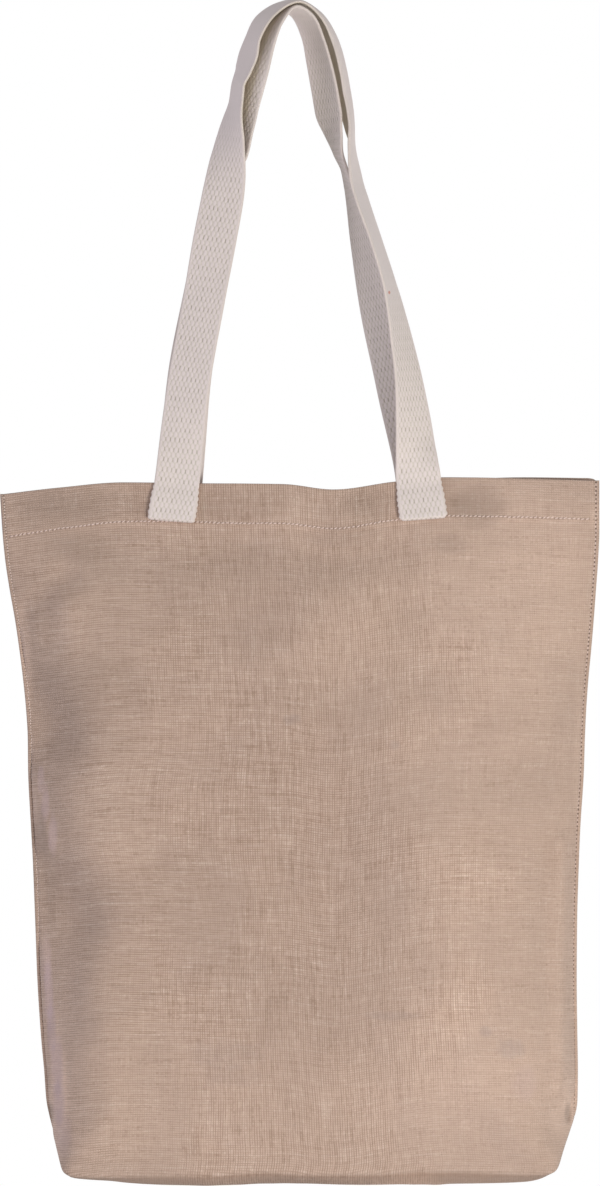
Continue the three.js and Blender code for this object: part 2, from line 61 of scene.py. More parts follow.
cloth = {
    "halfWidth": 200,  # flat cloth from the middle to a side edge
    "wall": 460,  # from the mouth to the crease of the base
    "base": 76,
    "ply": 1.3,  # one layer of jute
    "hemPly": 2.3,  # the layers of the turned-in hem
    "hem": 27.5,  # depth of the hem
    "hemStep": 2.5,  # height over which the hem thins
    "hemInside": 0.5,  # how far the turned-in cloth stands out inside the bag
    "hemCut": (-0.8, 0.4),  # heights beside the hem's depth between which that cloth ends
    "hemReach": 10,  # the higher, the closer it comes to the side seams
    "turnedUnder": 8,
    "seamAllowance": 10,
    "flange": 2.4,  # side seam, from its stitch row to its edge
    "flangeEnd": 0.4,
    "flangeThins": 0.965,  # share of the way down where the flange starts to run out
    "flangePlaces": (1, 0.96, 0.86, 0.66, 0.4, 0.18),  # its columns, as shares of the way out
    "pinch": 0.66,  # thickness left at the stitch row, 1 for all of it
    "pinchEnds": 0.8,  # share of the way out where the edge is as thin again
    "pinchFullness": 0.7,
    "seamEnd": {"left": -752, "right": -744},  # heights of the lower ends of the side seams
    # distance across the flat cloth, height of the crease where the front turns under
    "crease": (
        (-163, -776.9), (-138, -777.8), (-115, -777.3), (-88, -776.9), (-71, -777.1), (-60, -776.5),
        (-48, -775.5), (-34, -774.3), (-21, -775.1), (-8, -776.1), (32, -775.9), (58, -775.0),
        (73, -773.6), (85, -773.9), (111, -774.6), (138, -775.6), (160, -775.8),
    ),
    # distance across the flat cloth, how far the base sags below that crease
    "sag": (
        (-163, 0), (-158, 2.4), (-148, 2.9), (-135, 3.5), (-122, 5.3), (-108, 6.6), (-95, 7.3),
        (-62, 7.9), (-35, 9.1), (-8, 7.2), (18, 8), (58, 8.9), (72, 10.4), (82, 10.4), (92, 9.5),
        (112, 8.6), (132, 7.3), (145, 6.2), (152, 4.6), (158, 1.9), (162, 0),
    ),
    "sagFullness": 0.8,
    "swells": (16, 76),  # lengths of the small swells of a limp cloth, shortest and longest
    "swellCount": 36,
    "swellSeeds": {"front": 11, "back": 12},
    "unevenness": 0.1,  # height of a middling one
    "foldReach": 50,  # the higher, the closer the folds come to the side seams
    "foldsStop": 0.97,  # share of the way down where they start to flatten
    "columns": 132,
    "crowding": 0.2,  # how much closer the columns are at the sides
    "wallRows": 132,
    "hemRows": 15,
    "hemBand": 5,  # half the height of the band of close rows at the hem
    "creaseRows": (1.2, 2.6),  # heights of the last rows above the crease
    "baseRows": 26,
    "innerRows": 84,
    "innerBaseRows": 14,
    "rimSteps": 6,
    # x, height of the mouth
    "mouth": {
        "front": (
            (-194, -325.1), (-154, -320.6), (-112, -317.1), (-57, -317.8), (-5, -318.5),
            (29, -322.1), (69, -316.8), (103, -313.9), (205, -315.8),
        ),
        "back": (
            (-194, -325.6), (-120, -320.3), (-60, -318.4), (20, -322.8), (90, -317.1), (150, -313.7),
            (198, -314.1), (205, -315.8),
        ),
    },
    # height, left edge, right edge
    "outline": (
        (-325, -194.1, 205.7), (-348, -192.6, 205.7), (-367, -190.8, 204.9), (-388, -187.7, 203.4),
        (-408, -184.2, 201.9), (-428, -181.3, 200.2), (-448, -178.8, 198.3), (-468, -176.8, 196.9),
        (-488, -175.6, 196.0), (-508, -175.4, 195.4), (-548, -173.4, 192.9), (-568, -172.3, 192.1),
        (-608, -170.7, 190.9), (-648, -169.2, 190.6), (-688, -166.6, 191.1), (-708, -164.7, 191.4),
        (-728, -163.2, 191.1), (-738, -161.2, 189.4), (-744, -159.7, 185.6), (-752, -157.4, 181.6),
        (-776, -151.0, 172.0),
    ),
    # share of the way down, half the depth, cloth turned back at the left and at the right,
    # softness of that turn
    "fill": (
        (0, 5.5, 62, 62, 0.1),
        (0.07, 8, 60, 60, 0.1),
        (0.16, 20, 56, 56, 0.09),
        (0.25, 30.5, 56, 54, 0.08),
        (0.36, 36.5, 70, 50, 0.06),
        (0.45, 37.5, 46, 56, 0.09),
        (0.52, 37.8, 45, 54, 0.09),
        (0.63, 38, 68, 52, 0.06),
        (0.74, 37.5, 52, 48, 0.05),
        (0.85, 37, 44, 43, 0.04),
        (0.95, 36.5, 39, 41, 0.025),
        (1, 36.5, 37.1, 37.8, 0.012),
    ),
    # x and height of one end, x and height of the other, half width, how far it stands out
    "folds": {
        "front": (
            (-34, -322, 30, -340, 30, 4),  # slack between the handles
            (-83, -366, -28, -358, 13, -1.2),  # trough under the left handle
            (18, -366, 73, -362, 12, -1.4),  # trough under the right handle
            (104, -352, 22, -398, 30, 5),  # drag from the right handle's end
            (22, -398, 0, -452, 34, 5),
            (70, -486, 92, -566, 42, 7),  # long swell under the right handle
            (92, -566, 92, -690, 42, 7),
            (-178, -402, -150, -380, 11, -4),  # drag to the left seam
            (-150, -380, -120, -362, 13, -1.5),
            (-150, -392, -147, -448, 30, 6),  # standing edge of the left side, in waves
            (-157, -396, -157.5, -446, 14, 4),
            (-139, -498, -134, -548, 28, 7),
            (-122, -600, -128, -640, 22, 3.6),
            (-126, -668, -126, -750, 26, 5),
            (-160, -396, -157, -420, 10, -4),  # hollows of the left side
            (-163, -452, -159, -482, 17, -8),
            (-154, -572, -140, -606, 15, -5),
            (-170, -514, -160, -558, 4.5, 4),  # ridge beside the left seam
            (-146, -650, -143, -748, 9, -2),  # trough beside the ridge
            (-166, -628, -164.5, -672, 4.5, 4),
            (-163, -688, -157.5, -745, 4.8, 5),
            (-124, -677, -60, -650, 8, 2),  # slanting crease
            (179.5, -556, 179.5, -716, 6.5, 6),  # ridge beside the right seam
            (186.6, -726, 183.6, -740, 2.8, -5),  # hollow at the seam's end
            (167, -560, 166, -700, 10, -2),
            (160, -760, 122, -706, 15, 4),  # fold to the right corner
            (170, -744, 164, -705, 11, -2),
            (-146, -768, -118, -732, 11, 2),  # fold to the left corner
            (142, -707, 178, -700, 2.2, -0.9),  # fine creases of the right side
            (120, -724.5, 152, -719, 2.2, 0.9),
            (-27, -763, 8, -765, 2.6, -0.8),  # pressed crease over the base
        ),
        "back": (
            (-30, -322, 34, -336, 32, 3),
            (-160, -380, -96, -352, 13, -1.8),
            (172, -384, 112, -352, 13, -1.8),
            (-110, -470, -96, -600, 36, 2.2),
            (150, -520, 140, -580, 22, -2.8),
            (168, -766, 130, -720, 11, 2),
            (-146, -768, -112, -726, 11, 2.2),
        ),
    },
}


# A smooth curve through one column of a table that never overshoots its rows.
def smoothCurve(rows, column):
    at, value = np.array(sorted((row[0], row[column]) for row in rows), float).T
    step = np.diff(at)
    slope = np.diff(value) / step
    same = slope[:-1] * slope[1:] > 0
    tangent = np.concatenate(([slope[0]], np.zeros(len(slope) - 1), [slope[-1]]))
    tangent[1:-1][same] = (2 * slope[:-1] * slope[1:])[same] / (slope[:-1] + slope[1:])[same]

    def curve(x):
        k = np.clip(np.searchsorted(at, x, side="right") - 1, 0, len(step) - 1)
        u = np.clip((x - at[k]) / step[k], 0, 1)
        rise = value[k + 1] - value[k]
        lean = 3 * rise - (2 * tangent[k] + tangent[k + 1]) * step[k]
        bend = (tangent[k] + tangent[k + 1]) * step[k] - 2 * rise
        return value[k] + u * (tangent[k] * step[k] + u * (lean + u * bend))

    return curve


def smoothStep(value, start, end):
    share = np.clip((value - start) / (end - start), 0, 1)
    return share * share * (3 - 2 * share)


mouthHeight = {side: smoothCurve(rows, 1) for side, rows in cloth["mouth"].items()}
edgeLeft, edgeRight = (smoothCurve(cloth["outline"], column) for column in (1, 2))
creaseLine, sagLine = smoothCurve(cloth["crease"], 1), smoothCurve(cloth["sag"], 1)
depthAt, turnedLeft, turnedRight, softAt = (
    smoothCurve(cloth["fill"], column) for column in (1, 2, 3, 4)
)


# How far the cloth has turned to the side seam, 0 to 1, at a share of the way out.
def turnShare(share, sideCloth, soft):
    corner = 1 - sideCloth / cloth["halfWidth"]

    def ramp(at):
        return soft * np.logaddexp(0, (at - corner) / soft)

    return (ramp(share) - ramp(0)) / (ramp(1) - ramp(0))


def plyAt(down):
    below = down * cloth["wall"] - cloth["hem"]
    thin = smoothStep(below, -cloth["hemStep"] / 2, cloth["hemStep"] / 2)
    return cloth["hemPly"] + (cloth["ply"] - cloth["hemPly"]) * thin


def flangeAt(down):
    thin = smoothStep(down, cloth["flangeThins"], 1)
    return cloth["flange"] + (cloth["flangeEnd"] - cloth["flange"]) * thin


# Small swells, as a sum of long waves in all directions.
swellWaves = {
    side: np.random.default_rng(seed).uniform(size=(cloth["swellCount"], 3))
    for side, seed in cloth["swellSeeds"].items()
}


def swell(side, x, z):
    shortest, longest = cloth["swells"]
    total = np.zeros(np.broadcast(x, z).shape)
    for direction, size, phase in swellWaves[side]:
        length = shortest + (longest - shortest) * size
        angle = math.tau * direction
        along = (math.cos(angle) * x + math.sin(angle) * z) / length
        total += 2 * length / (shortest + longest) * np.cos(math.tau * (along + phase))
    return cloth["unevenness"] * total


def foldOut(side, x, z):
    out = swell(side, x, z)
    for x1, z1, x2, z2, wide, height in cloth["folds"][side]:
        dx, dz = x2 - x1, z2 - z1
        along = np.clip(((x - x1) * dx + (z - z1) * dz) / (dx * dx + dz * dz), 0, 1)
        away = np.hypot(x - x1 - along * dx, z - z1 - along * dz)
        out = out + height * np.exp(-((away / wide) ** 2))
    return out


def sideCloth(across, down):
    return np.where(across < 0, turnedLeft(down), turnedRight(down))


# Height of the lower edge of a panel: the base crease, rising to the side seam's end.
def creaseHeight(across, soft):
    crease = creaseLine(across * cloth["halfWidth"]) + cloth["ply"]
    seamEnd = np.where(across < 0, cloth["seamEnd"]["left"], cloth["seamEnd"]["right"])
    return crease + (seamEnd - crease) * turnShare(np.abs(across), sideCloth(across, 1), soft)


# Inner face of a panel. across: -1 at the left stitch row, 1 at the right one. down: 0 to 1.
def panelInside(side, across, down):
    share = np.abs(across)
    soft = softAt(down)
    turnedCloth = sideCloth(across, down)
    turn = turnShare(share, turnedCloth, soft)
    tops = [mouthHeight[side](cloth["outline"][0][column]) for column in (1, 2)]
    left = edgeLeft(tops[0] + (cloth["seamEnd"]["left"] - tops[0]) * down) + flangeAt(down)
    right = edgeRight(tops[1] + (cloth["seamEnd"]["right"] - tops[1]) * down) - flangeAt(down)
    middle, half = (left + right) / 2, (right - left) / 2
    depth = depthAt(down)
    backward = np.sqrt(np.maximum(0, 1 - (depth / turnedCloth) ** 2))
    lost = (1 - backward) * turnedCloth / cloth["halfWidth"]
    x = middle + np.sign(across) * half * (share - lost * turn) / (1 - lost)
    top = mouthHeight[side](x)
    z = top + (creaseHeight(across, soft) - top) * down
    held = (1 - share ** cloth["foldReach"]) * (1 - smoothStep(down, cloth["foldsStop"], 1))
    y = sides[side] * np.maximum(0, depth * (1 - turn) + held * foldOut(side, x, z))
    return np.stack([x, y, z], axis=-1)


# The cloth as one length: 0 to 1 down the front, 1 to 2 over the base, 2 to 3 up the back.
middleOfBase = 1.5


def clothInside(across, length):
    if length <= 1:
        return panelInside("front", across, length)
    if length >= 2:
        return panelInside("back", across, 3 - length)
    over = length - 1
    front, back = panelInside("front", across, 1), panelInside("back", across, 1)
    point = front + (back - front) * over
    fullness = math.sin(math.pi * over) ** cloth["sagFullness"]
    point[..., 2] -= sagLine(across * cloth["halfWidth"]) * fullness
    return point


# The share of the way down a wall, at a place on the whole length.
def downOf(length):
    return length if length <= 1 else 1 if length < 2 else 3 - length


clothLength = 2 * cloth["wall"] + cloth["base"]


# Distance along the cloth from the front's mouth: on the walls it is the distance below the mouth.
def clothDistance(across, length):
    def below(side, down):
        place = panelInside(side, across, down)
        return mouthHeight[side](place[..., 0]) - place[..., 2]

    if length <= 1:
        return below("front", length)
    if length >= 2:
        return clothLength - below("back", 3 - length)
    start, end = below("front", 1), clothLength - below("back", 1)
    return start + (end - start) * (length - 1)


def wallSteps(count):
    hem, band = cloth["hem"] / cloth["wall"], cloth["hemBand"]
    closeUp = hem + np.linspace(-band, band, cloth["hemRows"]) / cloth["wall"]
    even = np.linspace(0, 1, count + 1)
    even = even[np.abs(even - hem) > (band + 1) / cloth["wall"]]
    nearCrease = 1 - np.array(cloth["creaseRows"]) / cloth["wall"]
    return np.unique(np.concatenate((even, closeUp, nearCrease)))


def newPiece(name, mesh, finish):
    if isinstance(mesh, bmesh.types.BMesh):
        built = mesh
        mesh = bpy.data.meshes.new(name)
        built.to_mesh(mesh)
        built.free()
    mesh.materials.append(finish)
    piece = bpy.data.objects.new(name, mesh)
    bpy.context.scene.collection.objects.link(piece)
    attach(piece, "root")
    return piece


# A grid whose points are put at places[row][column], with the flat cloth's own UV. dropped says which
# cells are left out, and tones holds one number a point for each name in it.
def laidGrid(places, flat, dropped=None, tones=None):
    bm = bmesh.new()
    rows, columns = len(places), len(places[0])
    bmesh.ops.create_grid(bm, x_segments=columns - 1, y_segments=rows - 1, size=0.5)
    where = [
        (round((v.co.y + 0.5) * (rows - 1)), round((v.co.x + 0.5) * (columns - 1))) for v in bm.verts
    ]
    uv = bm.loops.layers.uv.new("cloth")
    unwanted = []
    for face in bm.faces:
        cells = [where[loop.vert.index] for loop in face.loops]
        for loop, cell in zip(face.loops, cells):
            loop[uv].uv = flat[cell[0]][cell[1]]
        if dropped and all(dropped(*cell) for cell in cells):
            unwanted.append(face)
        face.smooth = True
    layers = [(bm.verts.layers.float.new(name), values) for name, values in (tones or {}).items()]
    for vert in bm.verts:
        row, column = where[vert.index]
        vert.co = places[row][column]
        for layer, values in layers:
            vert[layer] = values[row][column]
    bmesh.ops.delete(bm, geom=unwanted, context="FACES")
    bmesh.ops.remove_doubles(bm, verts=bm.verts, dist=0.00001)
    bmesh.ops.dissolve_degenerate(bm, edges=bm.edges, dist=0.000001)
    bmesh.ops.recalc_face_normals(bm, faces=bm.faces)
    return bm


def unit(vectors):
    return vectors / np.maximum(np.linalg.norm(vectors, axis=-1, keepdims=True), 1e-9)


# The outer face of the cloth: a row for each place along it, a column for each across it.
even = np.linspace(-1, 1, cloth["columns"] + 1)
acrossPlaces = even * (1 + cloth["crowding"] * (1 - even * even))
flangePlaces = np.array(cloth["flangePlaces"])
outerWall = wallSteps(cloth["wallRows"])
baseSteps = 1 + np.linspace(0, 1, cloth["baseRows"] + 1)[1:-1]
outerLengths = np.concatenate((outerWall, baseSteps, 3 - outerWall[::-1]))
insideGrid = np.array([clothInside(acrossPlaces, length) for length in outerLengths])
outward = unit(np.cross(np.gradient(insideGrid, axis=0), np.gradient(insideGrid, axis=1)))


# The side seams of one row: the left flange, the two stitch rows and the right flange.
def flangeRow(length, inner):
    down = downOf(length)
    ends = clothInside(np.array([-1.0, 1.0]), length if length <= middleOfBase else 3 - length)
    way = np.clip(2 * (length - middleOfBase), -1, 1)
    thick = plyAt(down) * way * (1 - inner)
    pinch = cloth["pinch"]
    bulge = np.sin(np.pi * np.minimum(1, flangePlaces / cloth["pinchEnds"]))
    bulge = bulge ** cloth["pinchFullness"]
    swollen = (pinch + (1 - pinch) * bulge) * np.sqrt(1 - flangePlaces**4)
    left, right = (np.repeat(end[None], len(flangePlaces), axis=0) for end in ends)
    left[:, 0] -= flangePlaces * flangeAt(down)
    right[:, 0] += flangePlaces * flangeAt(down)
    for edge in (left, right):
        edge[:, 1] = thick * swollen
    ends = ends.copy()
    ends[:, 1] = thick * pinch
    return left, ends, right[::-1]


# One row of the cloth. inner: 0 on the outer face, 1 on the inner one.
def clothRow(length, inner=0.0, lift=0.0):
    inside = clothInside(acrossPlaces, length)
    if inner < 1:
        j = np.clip(np.searchsorted(outerLengths, length), 0, len(outerLengths) - 1)
        normal = outward[j]
    else:
        normal = np.zeros_like(inside)
        normal[:, 1] = -1 if length <= 1 else 1
    down = downOf(length)
    below = down * cloth["wall"] - cloth["hem"]
    stands = cloth["hemInside"] * (1 - smoothStep(below, *cloth["hemCut"]))
    stands = stands * (1 - np.abs(acrossPlaces) ** cloth["hemReach"])
    reach = plyAt(down) * (1 - inner) - stands * inner
    row = inside + normal * reach[:, None]
    left, ends, right = flangeRow(length, inner)
    row[0], row[-1] = ends
    row = np.concatenate((left, row, right))
    row[:, 2] += lift
    return row


def makeCloth(finish):
    rimAngles = np.linspace(0, math.pi, cloth["rimSteps"] + 2)[1:-1]
    radius = (cloth["hemPly"] + cloth["hemInside"]) / 2
    innerWall = wallSteps(cloth["innerRows"])
    innerBase = 2 - np.linspace(0, 1, cloth["innerBaseRows"] + 1)[1:-1]
    innerLengths = np.concatenate((3 - innerWall, innerBase, innerWall[::-1]))
    steps = [(length, 0, 0) for length in outerLengths]
    steps += [(3, (1 - math.cos(a)) / 2, radius * math.sin(a)) for a in rimAngles]
    steps += [(length, 1, 0) for length in innerLengths]
    steps += [(0, (1 - math.cos(a)) / 2, radius * math.sin(a)) for a in rimAngles[::-1]]
    steps += [(0, 0, 0)]
    places = np.array([clothRow(*step) for step in steps]) * mm
    leftFlat = -cloth["halfWidth"] - flangePlaces * cloth["flange"]
    acrossFlat = np.concatenate((leftFlat, acrossPlaces * cloth["halfWidth"], -leftFlat[::-1]))
    flange = len(flangePlaces)
    flat = []
    for length, _, lift in steps:
        along = np.pad(clothDistance(acrossPlaces, length) - lift, flange, mode="edge")
        flat.append([(u * mm, v * mm) for u, v in zip(acrossFlat, along)])
    under = [[float(1 < length < 2)] * len(acrossFlat) for length, _, _ in steps]
    lastColumn = len(acrossFlat) - 1
    firstInner = len(outerLengths) + len(rimAngles)
    lastInner = firstInner + len(innerLengths) - 1

    def insideFlange(row, column):
        beyond = column <= flange or column >= lastColumn - flange
        return beyond and firstInner <= row <= lastInner

    bm = laidGrid(places, flat, insideFlange, {"under": under})
    piece = newPiece("jute_cloth_body", bm, finish)
    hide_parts("body")
    return piece


# Place, way across, way down and way out of the outer face at a place on the flat cloth.
def onCloth(across, length):
    i = np.interp(across, acrossPlaces, np.arange(len(acrossPlaces)))
    j = np.interp(length, outerLengths, np.arange(len(outerLengths)))
    i0, j0 = min(int(i), len(acrossPlaces) - 2), min(int(j), len(outerLengths) - 2)
    corners = outerFace[j0:j0 + 2, i0:i0 + 2]
    fi, fj = i - i0, j - j0
    upper = corners[0, 0] * (1 - fi) + corners[0, 1] * fi
    lower = corners[1, 0] * (1 - fi) + corners[1, 1] * fi
    wide = corners[0, 1] - corners[0, 0]
    return upper * (1 - fj) + lower * fj, unit(wide), unit(lower - upper), outward[j0, i0]


panel = slice(len(flangePlaces), -len(flangePlaces))
outerFace = np.array([clothRow(length)[panel] for length in outerLengths])
print(f"cloth: {len(outerLengths)} rows of {len(acrossPlaces)} places")

webbing = {
    "wide": 30,
    "thick": 2.2,
    "foldThick": 3.9,  # where the end is folded under
    "fold": 21,
    "foldSoft": (9, 5),  # distances before and after the fold's edge over which it thins
    "foldBulk": 1,
    "foldGroove": 0.9,  # between the two layers, along the edges
    "squareness": 26,  # the higher, the squarer the edges
    "gap": 0.25,
    "leaves": (1, 32),  # heights over the mouth between which it comes away from the cloth
    "underMouth": 0.5,  # the highest place where the cloth's face is measured
    "cornerRadius": 3.2,
    "cellWide": 3.08,  # one raised lozenge of the weave
    "cellLong": 6.8,
    "relief": 0.2,
    "sunk": 0.4,  # share of the relief by which the weave as a whole is sunk
    "reliefStarts": 2,  # distance from the end where it is whole
    "selvedge": 1.9,
    # along each handle, from where to where its weave is drawn flat, and how much of it is left there
    "plain": {"front": (255, 590, 0.1), "back": (290, 400, 0.45)},
    "plainFades": (30, 40),
    "shaded": (-125, -65),  # heights between which the dimness between the two handles grows
    "scallop": 0.42,  # waves of the edges of the sewn ends
    "scallopLong": 4.1,
    "scallopReach": 8,  # the higher, the closer they keep to the edge
    "scallopFades": 3,  # height over and under the mouth in which they start
    # its rows: distances from an end, where the even ones start, and the step between those
    "endRows": (0, 0.12, 0.35, 0.7, 1.2, 1.8, 2.5, 3.3),
    "evenFrom": 4.2,
    "step": 1.15,
    # its columns: those of the face, how far out they reach, and the shares of those at an edge
    "columns": 45,
    "faceReach": 0.935,
    "edgeColumns": (0.955, 0.972, 0.986, 0.996, 1),
    # how far the cut of an end leans, at the first and the last end
    "lean": {"front": (1.0, -0.8), "back": (-0.8, 0.8)},
    "leanFades": 20,
    # x, y, height of the centre line, its turn in degrees: 0 has the far to near edge along +X,
    # 90 toward the viewer, 180 along -X. Last, how far the edges curl inward, in degrees
    "lines": {
        "front": (
            (-80, -9, -341.8, 0, 0),
            (-75.8, -9, -314.8, 0, 0),
            (-68.7, -8.5, -254, 19, 0),
            (-58, -7.5, -194, 21, 0),
            (-50.8, -6.5, -154, 15.5, 0),
            (-45.8, -6, -127.4, 19.5, 0),
            (-43.7, -6, -114, 27, 0),
            (-42.5, -6, -104, 35.5, 0),
            (-41.2, -6.2, -94, 45.5, 0),
            (-40.1, -6.8, -86, 53, 0),
            (-38.7, -8, -74, 65, 0),
            (-36.5, -8.6, -62, 73, 0),
            (-35, -9.6, -50.5, 74, 0),
            (-31.4, -11, -40.5, 68, 0),
            (-28.6, -11.3, -32, 65, 0),
            (-25.2, -11.4, -20, 70, 0),
            (-16, -7, -4.2, 66, 0),
            (0.5, 0, 4.9, 68, 10),
            (17, 7.4, -4, 74, 36),
            (28.6, 11, -24, 79, 50),
            (33.4, 11, -43, 79, 52),
            (35.4, 10.8, -54, 80, 52),
            (37.5, 10.2, -65, 81, 46),
            (39.5, 8.8, -78, 85, 32),
            (41.1, 6.6, -93, 97, 12),
            (43.4, 4, -113, 105, 0),
            (47.4, 2, -127.4, 106.5, 0),
            (56.5, -1, -154, 105, 0),
            (64.9, -3, -181, 106.6, 0),
            (68.2, -4, -194, 110, 0),
            (73.7, -5.4, -221, 119, 0),
            (78.4, -6.8, -247.5, 127.7, 0),
            (81.4, -7.8, -274, 141, 0),
            (83.6, -8.6, -300, 158, 0),
            (85, -9, -315, 180, 0),
            (88.4, -9, -340.7, 180, 0),
        ),
        "back": (
            (-76.4, 9, -338.8, 180, 0),
            (-74, 9, -314, 180, 0),
            (-68, 9, -247, 166, 0),
            (-58.6, 10.5, -194, 157, 0),
            (-50.6, 12, -154, 146, 0),
            (-41.5, 12, -124, 125, 0),
            (-35.3, 10, -109, 104, 0),
            (-33.1, 5, -93, 76, 14),
            (-31.4, 0, -78, 71, 28),
            (-29.1, -5, -64, 66, 40),
            (-24, -9.5, -44, 62, 44),
            (-18.8, -9.8, -24, 61, 22),
            (-13, -7, -10, 62, 6),
            (-1.6, -1.3, 1.2, 64, 0),
            (7.4, 3.2, -4, 63, 0),
            (15, 8, -18, 62, 14),
            (19.2, 10, -34, 57.5, 18),
            (22.9, 11.5, -52.7, 55, 14),
            (25.3, 12.3, -68, 55, 8),
            (28.4, 12.6, -82, 67.5, 4),
            (31.6, 13.6, -96, 80, 0),
            (36, 15.4, -107.4, 84, 0),
            (39, 17.2, -119, 80, 0),
            (46.8, 16.6, -154, 63, 0),
            (57, 13.4, -201, 46, 0),
            (69.6, 11.5, -248, 28, 0),
            (84.8, 9, -313, 0, 0),
            (86.6, 9, -338.4, 0, 0),
        ),
    },
}


# How far out the outer face of a panel lies, by a line of sight along Y from well outside the bag.
def faceAt(side, tree, x, z):
    start = Vector((x * mm, sides[side] * cloth["wall"] * mm, z * mm))
    hit = tree.ray_cast(start, Vector((0, -sides[side], 0)))[0]
    return abs(hit.y) / mm if hit else 0.0


def makeHandle(side, tree, finish):
    rows = webbing["lines"][side]
    points = np.array([row[:3] for row in rows], float)
    distance = np.concatenate(([0], np.cumsum(np.linalg.norm(np.diff(points, axis=0), axis=1))))
    table = [(at, *row) for at, row in zip(distance, rows)]
    lineX, lineY, lineZ, lineTurn, lineCurl = (smoothCurve(table, column) for column in range(1, 6))
    total = distance[-1]

    def pointAt(at):
        return np.stack([lineX(at), lineY(at), lineZ(at)], axis=-1)

    nearEnd = np.array(webbing["endRows"])
    start, end = webbing["evenFrom"], total - webbing["evenFrom"]
    middle = np.linspace(start, end, round((end - start) / webbing["step"]))
    stations = np.concatenate((nearEnd, middle, total - nearEnd[::-1]))
    centre = pointAt(stations)
    ahead, behind = np.minimum(total, stations + 0.5), np.maximum(0, stations - 0.5)
    tangent = unit(pointAt(ahead) - pointAt(behind))
    turn = np.radians(lineTurn(stations))
    across = np.stack([np.cos(turn), -np.sin(turn), np.zeros_like(turn)], axis=-1)
    across = unit(across - tangent * np.sum(across * tangent, axis=1, keepdims=True))
    out = np.cross(across, tangent)

    toEnd = np.minimum(stations, total - stations)
    before, after = webbing["foldSoft"]
    folded = 1 - smoothStep(toEnd, webbing["fold"] - before, webbing["fold"] + after)
    curl = np.radians(lineCurl(stations))
    curl = np.where(np.abs(curl) < 0.001, 0.001, curl)
    firstLean, lastLean = webbing["lean"][side]
    lean = np.where(stations < total / 2, firstLean, lastLean)
    lean = lean * (1 - smoothStep(toEnd, 0, webbing["leanFades"]))
    full = webbing["thick"] + (webbing["foldThick"] - webbing["thick"]) * folded
    rounding = np.clip(toEnd / (full / 2), 0, 1)
    thick = full * np.sqrt(1 - (1 - rounding) ** 2)
    rim = np.array([mouthHeight[side](x) for x in centre[:, 0]])
    overMouth = centre[:, 2] - rim
    laid = 1 - smoothStep(overMouth, *webbing["leaves"])
    sewn = 1 - smoothStep(overMouth, -webbing["scallopFades"], webbing["scallopFades"])
    cornerCut = np.clip(1 - toEnd / webbing["cornerRadius"], 0, 1)
    half = webbing["wide"] / 2 + folded * webbing["foldBulk"]
    half = half - webbing["cornerRadius"] * (1 - np.sqrt(1 - cornerCut**2))

    edge = np.array(webbing["edgeColumns"])
    face = np.linspace(-webbing["faceReach"], webbing["faceReach"], webbing["columns"])
    shares = np.concatenate((-edge[::-1], face, edge))
    ringShares = np.concatenate((shares, shares[-2::-1]))
    isUnder = np.arange(len(ringShares)) >= len(shares)
    isRim = np.abs(ringShares) == 1

    plainStart, plainEnd, plainShare = webbing["plain"][side]
    startFades, endFades = webbing["plainFades"]
    worn = smoothStep(stations, plainStart - startFades, plainStart + startFades)
    worn = worn * (1 - smoothStep(stations, plainEnd - endFades, plainEnd + endFades))
    woven = 1 - worn * (1 - plainShare)
    dim = smoothStep(centre[:, 2], *webbing["shaded"])
    facing = isUnder if side == "front" else ~isUnder & (ringShares < 0.5)
    tones = {
        "woven": np.repeat(woven[:, None], len(ringShares), axis=1),
        "shade": dim[:, None] * facing[None],
    }

    places, flat = [], []
    for k, at in enumerate(stations):
        wave = webbing["scallop"] * sewn[k] * math.sin(math.tau * at / webbing["scallopLong"])
        groove = webbing["foldGroove"] * folded[k] * (toEnd[k] > 1)
        offset = ringShares * (half[k] + wave * np.abs(ringShares) ** webbing["scallopReach"])
        offset = np.where(isRim, ringShares * (half[k] + wave - groove), offset)
        height = thick[k] / 2 * np.sqrt(1 - np.abs(ringShares) ** webbing["squareness"])
        weave = np.cos(math.tau * offset / webbing["cellWide"])
        weave = (weave * math.cos(math.tau * at / webbing["cellLong"]) - webbing["sunk"]) * woven[k]
        inField = 1 - smoothStep(half[k] - np.abs(offset), webbing["selvedge"], webbing["selvedge"] - 1)
        raised = webbing["relief"] * inField * weave * min(1, toEnd[k] / webbing["reliefStarts"])
        bend = curl[k] * ringShares
        inward = webbing["wide"] / 2 * (1 - np.cos(bend)) / curl[k]
        place = centre[k] + tangent[k] * (lean[k] * ringShares)[:, None]
        place = place + across[k] * (offset * np.sinc(bend / math.pi))[:, None]
        place = place + out[k] * (inward[0] / 2 - inward)[:, None]
        faceOut = out[k] * np.cos(bend)[:, None] + across[k] * np.sin(bend)[:, None]
        free = place + faceOut * (np.where(isUnder, -1, 1) * (height + raised))[:, None]
        if laid[k] > 0:
            highest = rim[k] - webbing["underMouth"]
            reach = np.array([faceAt(side, tree, x, min(z, highest)) for x, y, z in place])
            rise = np.where(isUnder, thick[k] / 2 - height, thick[k] / 2 + height + raised)
            rise = np.where(isRim, thick[k] / 2, rise)
            onFace = sides[side] * (reach + webbing["gap"] + rise)
            free[:, 1] = free[:, 1] * (1 - laid[k]) + onFace * laid[k]
        places.append(free * mm)
        flat.append([(u * mm, at * mm) for u in offset])
    bm = laidGrid(places, flat, tones=tones)
    piece = newPiece(f"webbing_{side}", bm, finish)
    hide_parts(f"handle_{side}")
    print(f"handle {side}: {total:.0f} mm along its centre line")
    return piece, total


